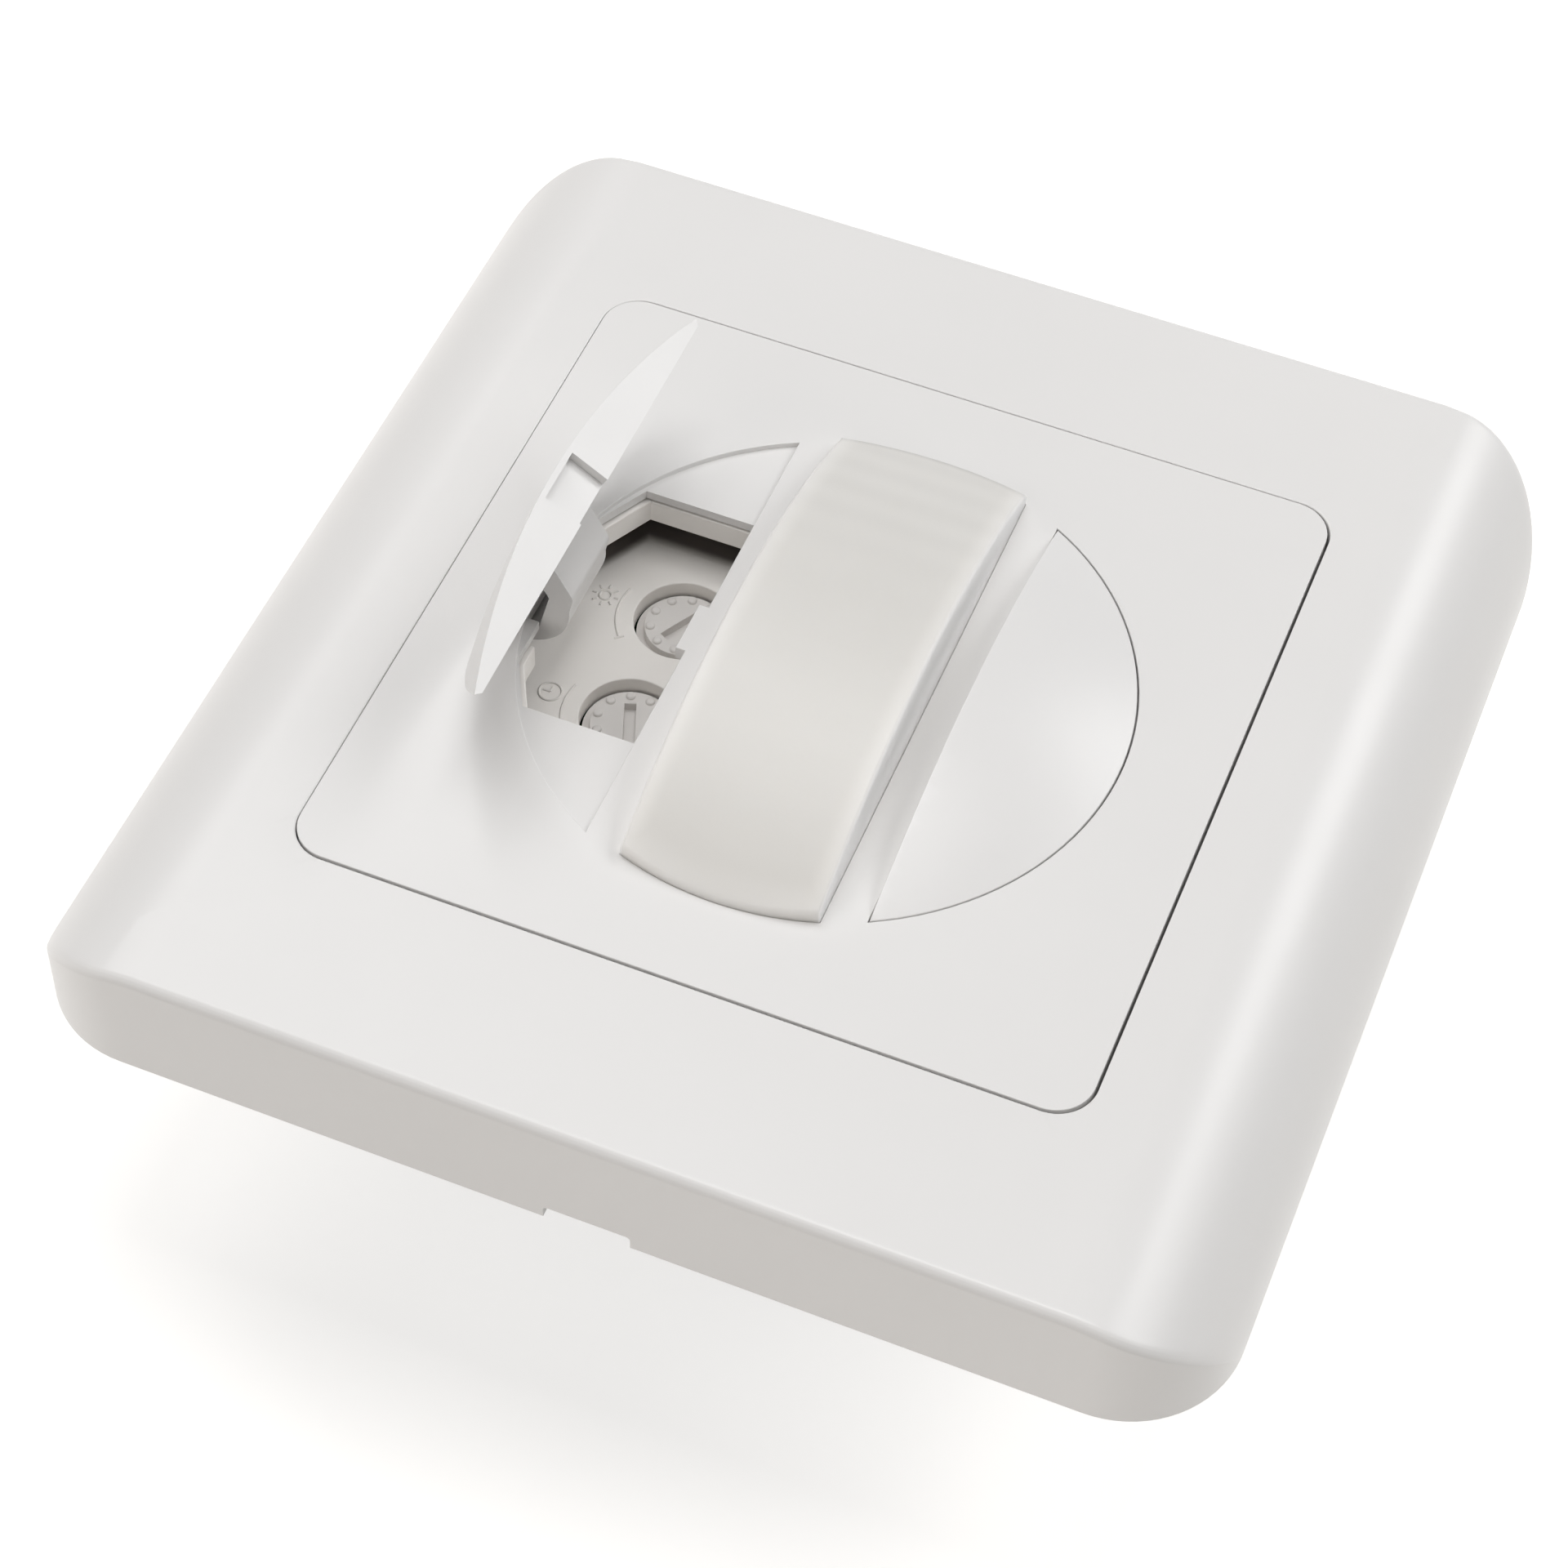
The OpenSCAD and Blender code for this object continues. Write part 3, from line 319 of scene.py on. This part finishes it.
def plastic(name, base, rough, grain_mm=GRAIN, grain_depth=GRAIN_DEPTH, tone=TONE):
    """Moulded plastic: faint blotches of tone, uneven gloss and a fine spark-eroded grain."""
    material, tree, shader = new_material(name)
    blotches = scaled(tree, noise(tree, BLOTCH, 2.0))
    paint(tree, shader, between(tree, blotches, shade(base, 1 - tone), shade(base, 1 + tone)))
    uneven_gloss(tree, shader, noise(tree, BLOTCH / 3), rough, 0.03)
    bump(tree, shader, noise(tree, grain_mm), grain_depth)
    return material


def metal(name, base, rough):
    """Plated sheet: rolling streaks along X, patches of tone and uneven gloss."""
    material, tree, shader = new_material(name)
    shader.inputs["Metallic"].default_value = 1.0
    patches = scaled(tree, noise(tree, PATCH))
    paint(tree, shader, between(tree, patches, shade(base, 0.88), shade(base, 1.06)))
    streaks = noise(tree, STREAK, 4.0, STREAK_LENGTHS)
    uneven_gloss(tree, shader, streaks, rough, 0.08)
    bump(tree, shader, streaks, STREAK_DEPTH)
    return material


def lens_rows(tree, place, y):
    """Faint rows of lens elements, which show more and more towards +Y."""
    rows = tree.nodes.new("ShaderNodeTexWave")
    rows.wave_type = "BANDS"
    rows.bands_direction = "Y"
    rows.inputs["Scale"].default_value = WAVE_LENGTH / (LENS_ROW * MM)
    rows.inputs["Distortion"].default_value = 0.8
    rows.inputs["Detail"].default_value = 2.0
    rows.inputs["Detail Scale"].default_value = 0.4
    tree.links.new(place, rows.inputs["Vector"])
    return maths(tree, "MULTIPLY", rows.outputs["Fac"], ramp(tree, y, ROWS_START, ROWS_FULL, 0.6))


def milky_lens(name, base, painted_light_tone, rough):
    """Translucent polyethylene: soft clouds and rows, painted light over the walls, the sides and the near
    end, and a painted shadow along the far edge.
    """
    material, tree, shader = new_material(name)
    shader.inputs["Subsurface Weight"].default_value = 1.0
    shader.inputs["Subsurface Radius"].default_value = (1, 1, 1)
    shader.inputs["Subsurface Scale"].default_value = LENS_DEPTH * MM
    place = object_place(tree)
    axes = split(tree, place)
    across = maths(tree, "ABSOLUTE", axes["X"])
    reach = measure(tree, "LENGTH", flat_vector(tree, axes["X"], axes["Y"]))
    near_half = ramp(tree, axes["Y"], LENS_HALF_BLEND, -LENS_HALF_BLEND)
    far_half = ramp(tree, axes["Y"], -LENS_HALF_BLEND, LENS_HALF_BLEND)

    clouds = between(tree, scaled(tree, noise(tree, CLOUD, 1.0)), shade(base, 0.97), base)
    body = between(tree, lens_rows(tree, place, axes["Y"]), clouds, shade(base, 0.94))
    # Painted shadow along the far edge of the lens
    far_edge_shadow = maths(tree, "MULTIPLY", far_half, ramp(tree, reach, LENS_END - 0.9, LENS_END - 0.2))
    body = between(tree, far_edge_shadow, body, shade(base, 0.74))

    # Painted light over the walls, the sides and the near end, mixed towards the pale tone
    wall_light = ramp(tree, across, LENS_SIDE - 0.2, LENS_SIDE)
    sides = ramp(tree, across, LENS_SIDE - 1.6, LENS_SIDE - 0.4, 0.22)
    near_end_light = maths(tree, "MULTIPLY", near_half, ramp(tree, reach, LENS_END - 2.5, LENS_END, 0.3))
    painted_light_mask = maths(tree, "MAXIMUM", wall_light, maths(tree, "MAXIMUM", sides, near_end_light))
    paint(tree, shader, between(tree, painted_light_mask, body, painted_light_tone))
    uneven_gloss(tree, shader, noise(tree, 4.0), rough, 0.04)
    bump(tree, shader, noise(tree, LENS_GRAIN), LENS_GRAIN_DEPTH)
    return material


def deck_plastic(name, base, painted_shade_tone, rough):
    """The carrier's plastic with painted shade round the pocket, where the centre plate covers it."""
    material = plastic(name, base, rough)
    tree = material.node_tree
    shader = tree.nodes["Principled BSDF"]
    seen = shader.inputs["Base Color"].links[0].from_socket
    # Painted shade: the deck turns dark past the pocket's sides and cut corners, under the centre plate
    axes = split(tree, object_place(tree))
    sides = maths(tree, "ABSOLUTE", axes["Y"])
    corners = measure(tree, "DOT_PRODUCT", flat_vector(tree, axes["X"], sides), POCKET_CORNER_SIDE)
    past_sides = ramp(tree, sides, *(POCKET_SIDE + fade for fade in POCKET_FADE))
    past_corners = ramp(tree, corners, *(POCKET_CORNER + fade for fade in POCKET_FADE))
    painted_shade_mask = maths(tree, "MAXIMUM", past_sides, past_corners)
    paint(tree, shader, between(tree, painted_shade_mask, seen, painted_shade_tone))
    return material


def circuit_board(name, base, rough):
    """Solder mask over copper tracks, which show as paler lines."""
    material, tree, shader = new_material(name)
    tracks = tree.nodes.new("ShaderNodeTexBrick")
    tracks.inputs["Scale"].default_value = 1 / (TRACK * MM)
    tracks.inputs["Color1"].default_value = base
    tracks.inputs["Color2"].default_value = shade(base, 0.8)
    tracks.inputs["Mortar"].default_value = shade(base, 1.7)
    tracks.inputs["Mortar Size"].default_value = 0.03
    tree.links.new(object_place(tree), tracks.inputs["Vector"])
    paint(tree, shader, tracks.outputs["Color"])
    uneven_gloss(tree, shader, noise(tree, 3.0), rough, 0.05)
    bump(tree, shader, tracks.outputs["Fac"], TRACK_DEPTH, 0.4)
    return material


MATERIALS = {
    "white_plastic": plastic("white_plastic", colour(232, 231, 230), 0.3),
    # The lens's third colour is painted light on its walls, sides and near end
    "milky_lens": milky_lens("milky_lens", colour(226, 224, 220), colour(252, 250, 247), 0.36),
    "grey_plastic": plastic("grey_plastic", colour(240, 237, 233), 0.5),
    "dial_plastic": plastic("dial_plastic", colour(234, 231, 228), 0.48),
    "black_plastic": plastic("black_plastic", colour(26, 26, 28), 0.5, tone=0.08),
    "housing_plastic": plastic("housing_plastic", colour(52, 53, 55), 0.55, 0.35, 0.012, 0.06),
    "blue_plastic": plastic("blue_plastic", colour(34, 66, 138), 0.3, tone=0.05),
    "yellow_plastic": plastic("yellow_plastic", colour(206, 160, 42), 0.32, tone=0.05),
    "brown_plastic": plastic("brown_plastic", colour(80, 38, 26), 0.3, tone=0.06),
    "capacitor_sleeve": plastic("capacitor_sleeve", colour(24, 28, 40), 0.28, tone=0.06),
    "circuit_board": circuit_board("circuit_board", colour(22, 84, 46), 0.35),
    "zinc_steel": metal("zinc_steel", colour(196, 198, 200), 0.36),
    "nickel_can": metal("nickel_can", colour(200, 194, 184), 0.24),
    "brass": metal("brass", colour(206, 168, 88), 0.3),
    "infrared_filter": plastic("infrared_filter", colour(20, 16, 22), 0.12, tone=0.1),
    "clear_resin": plastic("clear_resin", colour(204, 212, 220), 0.1, tone=0.03),
}
# The second colour is painted shade, laid on the deck where the centre plate covers it
DECK_LOOK = deck_plastic("deck_plastic", colour(254, 251, 247), colour(112, 105, 100), 0.5)
SLOT_OF = {part["node"]: part["material_slot"] for part in frame["record"]["subparts"]}
BODY_OF = {node: body for body, nodes in frame["record"]["behaviour"]["bodies"].items() for node in nodes}


# Meshes

def add_object(name, data):
    thing = bpy.data.objects.new(name, data)
    bpy.context.scene.collection.objects.link(thing)
    return thing


def finish_piece(piece, body, slot, *nodes):
    """Gives a piece its material, its body and the CAD nodes that it stands for."""
    piece.data.materials.clear()
    piece.data.materials.append(MATERIALS[slot])
    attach(piece, body)
    if nodes:
        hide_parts(*nodes)


def smooth(piece, sharp=SHARP):
    """Smooth shading that keeps flat faces flat and real corners sharp."""
    piece.data.shade_smooth()
    piece.data.set_sharp_from_angle(angle=math.radians(sharp))
    weighted = piece.modifiers.new("flat faces", "WEIGHTED_NORMAL")
    weighted.keep_sharp = True


def moulded(node, *rounds, highest=math.inf, stretch=(1, 1, 1), shift=(0, 0, 0), look=None):
    """A copy of a CAD node that stands for it, with its outer edges rounded, up to the highest ones.

    Each round is a size and the height above which the edges get it, from the highest edges down.
    The copy can fill its gaps a little more, by a stretch about the middle or a shift.
    """
    source = frame["nodes"][node].data
    mesh = bpy.data.meshes.new(node + "_moulded")
    places = [v.co * Vector(stretch) + Vector(shift) * MM for v in source.vertices]
    mesh.from_pydata(places, [], [p.vertices for p in source.polygons])
    shape = bmesh.new()
    shape.from_mesh(mesh)
    bmesh.ops.remove_doubles(shape, verts=shape.verts, dist=WELD * MM)
    flat = math.radians(FLAT_ANGLE)
    bmesh.ops.dissolve_limit(shape, angle_limit=flat, verts=shape.verts, edges=shape.edges)
    for size, lowest in rounds:
        shape.normal_update()
        edges = []
        for edge in shape.edges:
            low, high = sorted(v.co.z / MM for v in edge.verts)
            corner = edge.calc_face_angle_signed(0) > math.radians(ROUND_ANGLE)
            if low > lowest and high < highest and corner:
                edges.append(edge)
        bmesh.ops.bevel(shape, geom=edges, offset=size * MM, segments=ROUND_STEPS, profile=0.5,
                        affect="EDGES", clamp_overlap=False, loop_slide=False)
    shape.to_mesh(mesh)
    shape.free()
    piece = add_object(node + "_moulded", mesh)
    smooth(piece)
    finish_piece(piece, BODY_OF[node], SLOT_OF[node], node)
    if look:
        piece.data.materials[0] = look


# Cover frame, swept as a closed chain of rounded rectangles

def on_circle(angle):
    """The point of the unit circle at an angle in radians."""
    return Vector((math.cos(angle), math.sin(angle)))


def rounded_ring(half_x, half_y, radius, height, shift=Vector((0, 0))):
    """Points of a rounded rectangle, each as high as height(x) says, with its middle moved by the shift."""
    points = []
    signs = ((1, 1), (-1, 1), (-1, -1), (1, -1))
    middles = [Vector((sx * (half_x - radius), sy * (half_y - radius))) for sx, sy in signs]
    for quarter, middle in enumerate(middles):
        for step in range(CORNER_STEPS + 1):
            angle = math.radians(90) * (quarter + step / CORNER_STEPS)
            points.append(middle + radius * on_circle(angle))
        start = points[-1]
        following = middles[(quarter + 1) % len(middles)]
        end = following + radius * on_circle(math.radians(90) * (quarter + 1))
        for step in range(1, SIDE_STEPS):
            points.append(start.lerp(end, step / SIDE_STEPS))
    return [Vector((p.x + shift.x, p.y + shift.y, height(p.x))) * MM for p in points]


def quarter_drop(distance, radius):
    """How far a rounded edge lies below its face at a distance from the wall."""
    if distance >= radius:
        return 0.0
    return radius - math.sqrt(radius ** 2 - (radius - distance) ** 2)


def chain_mesh(name, rings):
    """A closed chain of rings, each joined to the next and the last to the first."""
    mesh = bpy.data.meshes.new(name)
    count = len(rings[0])
    faces = []
    for k in range(len(rings)):
        here, there = k * count, (k + 1) % len(rings) * count
        for i in range(count):
            j = (i + 1) % count
            faces.append((here + i, here + j, there + j, there + i))
    mesh.from_pydata([p for ring in rings for p in ring], [], faces)
    shape = bmesh.new()
    shape.from_mesh(mesh)
    bmesh.ops.remove_doubles(shape, verts=shape.verts, dist=FRAME_WELD * MM)
    bmesh.ops.dissolve_degenerate(shape, edges=shape.edges, dist=FRAME_SLIVER * MM)
    bmesh.ops.recalc_face_normals(shape, faces=shape.faces)
    shape.to_mesh(mesh)
    shape.free()
    return mesh


def cover_frame():
    low, high = (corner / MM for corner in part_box("cover_frame"))
    half_x, half_y, top = high
    plate_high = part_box("centre_plate")[1] / MM
    opening = plate_high.x + PLATE_GAP
    opening_corner = PLATE_CORNER + PLATE_GAP

    def shoulder(inset):
        """Height of the skin over x and how upright it stands there, an inset below the outer skin."""
        radius = top - inset + SHOULDER_SINK
        flat = half_x - inset - math.sqrt(radius ** 2 - SHOULDER_SINK ** 2)

        def at(x):
            out = min(max(abs(x) - flat, 0.0), radius)
            rise = math.sqrt(radius ** 2 - out ** 2)
            return rise - SHOULDER_SINK, rise / radius
        return at

    def skin_ring(inset, distance, edge, end_half, end_radius, lip=0.0):
        """Ring on the skin, a distance inside the outline, with outer edge and opening's lip rounded."""
        at = shoulder(inset)
        share = distance / (half_x - inset - end_half)
        x = half_x - inset - distance
        y = (half_y - inset) * (1 - share) + end_half * share
        radius = max(FRAME_CORNER - inset - distance, end_radius)

        def height(px):
            z, upright = at(px)
            return max(z - quarter_drop(distance, edge) * upright - lip, 0.0)
        return rounded_ring(x, y, radius, height, OPENING_SHIFT * share)

    def wall_ring(half, radius):
        """Ring at the foot of the wall round the opening."""
        return rounded_ring(half, half, radius, lambda x: INNER_WALL_FOOT, OPENING_SHIFT)

    def foot_ring(inset):
        """Ring at the foot of the outer wall."""
        return rounded_ring(half_x - inset, half_y - inset, FRAME_CORNER - inset, lambda x: 0.0)

    radius = top + SHOULDER_SINK
    turns = [math.radians(a) for a in range(90, -1, -SHOULDER_TURN)]
    reach = half_x - opening
    distances = {FRAME_EDGE * (1 - math.cos(math.radians(a))) for a in range(0, 91, EDGE_TURN)}
    distances |= {radius * (1 - math.sin(a)) for a in turns}
    distances |= {(radius + reach - OPENING_EDGE) / 2, reach - OPENING_EDGE}
    rings = [foot_ring(0)]
    rings += [skin_ring(0, d, FRAME_EDGE, opening, opening_corner) for d in sorted(distances)]
    for angle in range(EDGE_TURN, 91, EDGE_TURN):
        away = OPENING_EDGE * (1 - math.sin(math.radians(angle)))
        lip = quarter_drop(away, OPENING_EDGE)
        rings.append(skin_ring(0, reach - away, FRAME_EDGE, opening, opening_corner, lip))
    wall = opening + FRAME_WALL
    wall_corner = opening_corner + FRAME_WALL
    rings += [wall_ring(opening, opening_corner), wall_ring(wall, wall_corner)]
    inner_radius = radius - FRAME_WALL
    inner_reach = half_x - FRAME_WALL - wall
    inner = [inner_radius * (1 - math.sin(a)) for a in turns]
    inner = [d for d in inner if d < inner_reach] + [inner_reach]
    rings += [skin_ring(FRAME_WALL, d, 0, wall, wall_corner) for d in reversed(inner)]
    rings.append(foot_ring(FRAME_WALL))

    piece = add_object("frame_shell", chain_mesh("frame_shell", rings))
    cut_notch(piece, low.y)
    smooth(piece, FRAME_SHARP)
    finish_piece(piece, BODY_OF["cover_frame"], SLOT_OF["cover_frame"], "cover_frame")


def cut_notch(piece, front):
    """Cuts the prying notch out of the frame's front edge."""
    mesh = bpy.data.meshes.new("notch")
    shape = bmesh.new()
    bmesh.ops.create_cube(shape, size=1)
    bmesh.ops.scale(shape, vec=Vector((PRY_WIDTH, 4 * FRAME_WALL, 2 * PRY_HEIGHT)) * MM, verts=shape.verts)
    bmesh.ops.translate(shape, vec=Vector((0, front * MM, 0)), verts=shape.verts)
    along = [e for e in shape.edges if abs(e.verts[0].co.y - e.verts[1].co.y) > MM]
    bmesh.ops.bevel(shape, geom=along, offset=PRY_ROUND * MM, segments=PRY_STEPS, profile=0.5, affect="EDGES")
    shape.to_mesh(mesh)
    shape.free()
    cutter = add_object("notch", mesh)
    cut = piece.modifiers.new("notch", "BOOLEAN")
    cut.operation = "DIFFERENCE"
    cut.solver = "EXACT"
    cut.object = cutter
    result = bpy.data.meshes.new_from_object(piece.evaluated_get(bpy.context.evaluated_depsgraph_get()))
    piece.modifiers.clear()
    piece.data = result
    bpy.data.objects.remove(cutter)


# Raised marks on the deck

def strokes(name, lines):
    """Raised lines on the dial deck, each a list of points in millimetres."""
    data = bpy.data.curves.new(name, "CURVE")
    data.dimensions = "3D"
    data.bevel_depth = MARK_STROKE * MM
    data.bevel_resolution = 2
    data.use_fill_caps = True
    for points in lines:
        spline = data.splines.new("POLY")
        spline.points.add(len(points) - 1)
        for place, (x, y) in zip(spline.points, points):
            place.co = (x * MM, y * MM, DECK_TOP * MM, 1)
    finish_piece(add_object(name, data), BODY_OF["sensor_carrier"], SLOT_OF["sensor_carrier"])


def arc(middle, radius, start=0, end=360):
    angles = [math.radians(start + (end - start) * i / ARC_STEPS) for i in range(ARC_STEPS + 1)]
    return [(middle[0] + radius * math.cos(a), middle[1] + radius * math.sin(a)) for a in angles]


def ray(middle, inner, outer, angle):
    a = math.radians(angle)
    return [(middle[0] + r * math.cos(a), middle[1] + r * math.sin(a)) for r in (inner, outer)]


def deck_marks():
    """A sun beside one dial, a clock beside the other, and a scale round each."""
    dials = {}
    for name in ("lux", "time"):
        low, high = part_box(name + "_dial")
        dials[name] = (low + high) / 2 / MM
    sun = (MARK_X, dials["lux"].y)
    clock = (MARK_X, dials["time"].y)
    rays = [ray(sun, *SUN_RAY, angle) for angle in range(0, 360, SUN_RAY_TURN)]
    hands = [ray(clock, 0, length, angle) for length, angle in CLOCK_HANDS]
    strokes("sun_mark", [arc(sun, SUN_RADIUS)] + rays)
    strokes("clock_mark", [arc(clock, CLOCK_RADIUS)] + hands)
    for name, middle in dials.items():
        scale = arc(middle, SCALE_RADIUS, SCALE_START, SCALE_END)
        strokes(name + "_scale", [scale, ray(middle, *SCALE_TICK, SCALE_END)])


# Stage, light and camera

def seen_directly(tree):
    """1 for rays from the camera, a reflection or a transmission, and 0 for light that falls on things."""
    path = tree.nodes.new("ShaderNodeLightPath")
    total = path.outputs["Is Camera Ray"]
    for name in ("Is Glossy Ray", "Is Transmission Ray"):
        total = maths(tree, "MAXIMUM", total, path.outputs[name])
    return total


def stage_material():
    """White with the object's soft shadow where it is seen, and a plain pale floor to other light."""
    material, tree, shader = new_material("pale_floor")
    shader.inputs["Base Color"].default_value = FLOOR_TONE
    shader.inputs["Roughness"].default_value = FLOOR_ROUGH
    glow = tree.nodes.new("ShaderNodeEmission")
    lit = tree.nodes.new("ShaderNodeAddShader")
    pick = tree.nodes.new("ShaderNodeMixShader")
    glow.inputs["Strength"].default_value = FLOOR_GLOW
    tree.links.new(shader.outputs["BSDF"], lit.inputs[0])
    tree.links.new(glow.outputs["Emission"], lit.inputs[1])
    tree.links.new(seen_directly(tree), pick.inputs["Fac"])
    tree.links.new(shader.outputs["BSDF"], pick.inputs[1])
    tree.links.new(lit.outputs["Shader"], pick.inputs[2])
    tree.links.new(pick.outputs["Shader"], tree.nodes["Material Output"].inputs["Surface"])
    return material


def make_stage():
    mesh = bpy.data.meshes.new("floor")
    half = FLOOR_SIDE / 2 * MM
    level = cad_box[0].z
    corners = [(-half, -half, level), (half, -half, level), (half, half, level), (-half, half, level)]
    mesh.from_pydata(corners, [], [(0, 1, 2, 3)])
    mesh.materials.append(stage_material())
    add_object("floor", mesh)


def sky_colour(tree):
    """The sky's colour in a direction, which fades with the angle from the lit side."""
    place = tree.nodes.new("ShaderNodeTexCoord").outputs["Generated"]
    share = maths(tree, "MAXIMUM", measure(tree, "DOT_PRODUCT", place, SKY_SIDE), 0)
    light = tree.nodes.new("ShaderNodeVectorMath")
    light.operation = "SCALE"
    light.inputs[0].default_value = SKY_TINT
    tree.links.new(maths(tree, "MULTIPLY", share, share), light.inputs["Scale"])
    return light.outputs["Vector"]


def make_light():
    """Plain white where the world is seen, and a soft one-sided sky with four lamps to the object."""
    world = bpy.data.worlds.new("studio")
    bpy.context.scene.world = world
    world.use_nodes = True
    tree = world.node_tree
    shown = between(tree, seen_directly(tree), sky_colour(tree), (1, 1, 1, 1))
    tree.links.new(shown, tree.nodes["Background"].inputs["Color"])
    for name, (side, width, watts) in LAMPS.items():
        data = bpy.data.lights.new(name, "AREA")
        data.shape = "SQUARE"
        data.size = width * MM
        data.energy = watts
        lamp = add_object(name, data)
        lamp.location = side.normalized() * LAMP_DISTANCE * MM
        lamp.rotation_euler = side.to_track_quat("Z", "Y").to_euler()


def make_camera():
    data = bpy.data.cameras.new("camera")
    data.sensor_width = SENSOR
    data.lens = SENSOR * FOCAL_PX / PHOTO_SIDE
    data.clip_start = CAMERA_NEAREST * MM
    camera = add_object("camera", data)
    camera.location = Vector(CAMERA_AT) * MM
    camera.rotation_euler = [math.radians(a) for a in CAMERA_TURN]
    bpy.context.scene.camera = camera


make_camera()
make_stage()
make_light()
bpy.context.scene.view_settings.view_transform = "Standard"

for name, node in frame["nodes"].items():
    node.data.materials.clear()
    node.data.materials.append(MATERIALS[SLOT_OF[name]])

cover_frame()
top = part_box("centre_plate")[1].z / MM
moulded("centre_plate", (PLATE_ROUND, top - TOP_DEPTH))
moulded("settings_flap")
moulded("override_button", (BUTTON_ROUND, top - RIM_DEPTH), stretch=BUTTON_STRETCH, shift=BUTTON_SHIFT)
moulded("fresnel_lens", (LENS_ROUND, top - TOP_DEPTH), stretch=LENS_STRETCH)
moulded("sensor_carrier", (DECK_ROUND, DECK_TOP - TOP_DEPTH), look=DECK_LOOK)
for name in ("lux_dial", "time_dial"):
    dot_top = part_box(name)[1].z / MM
    moulded(name, (DOT_ROUND, dot_top - DOT_DEPTH), (DIAL_ROUND, dot_top - RIM_DEPTH))
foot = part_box("rear_housing")[0].z / MM
moulded("rear_housing", (FOOT_ROUND, foot - TOP_DEPTH), highest=foot + TOP_DEPTH)
deck_marks()
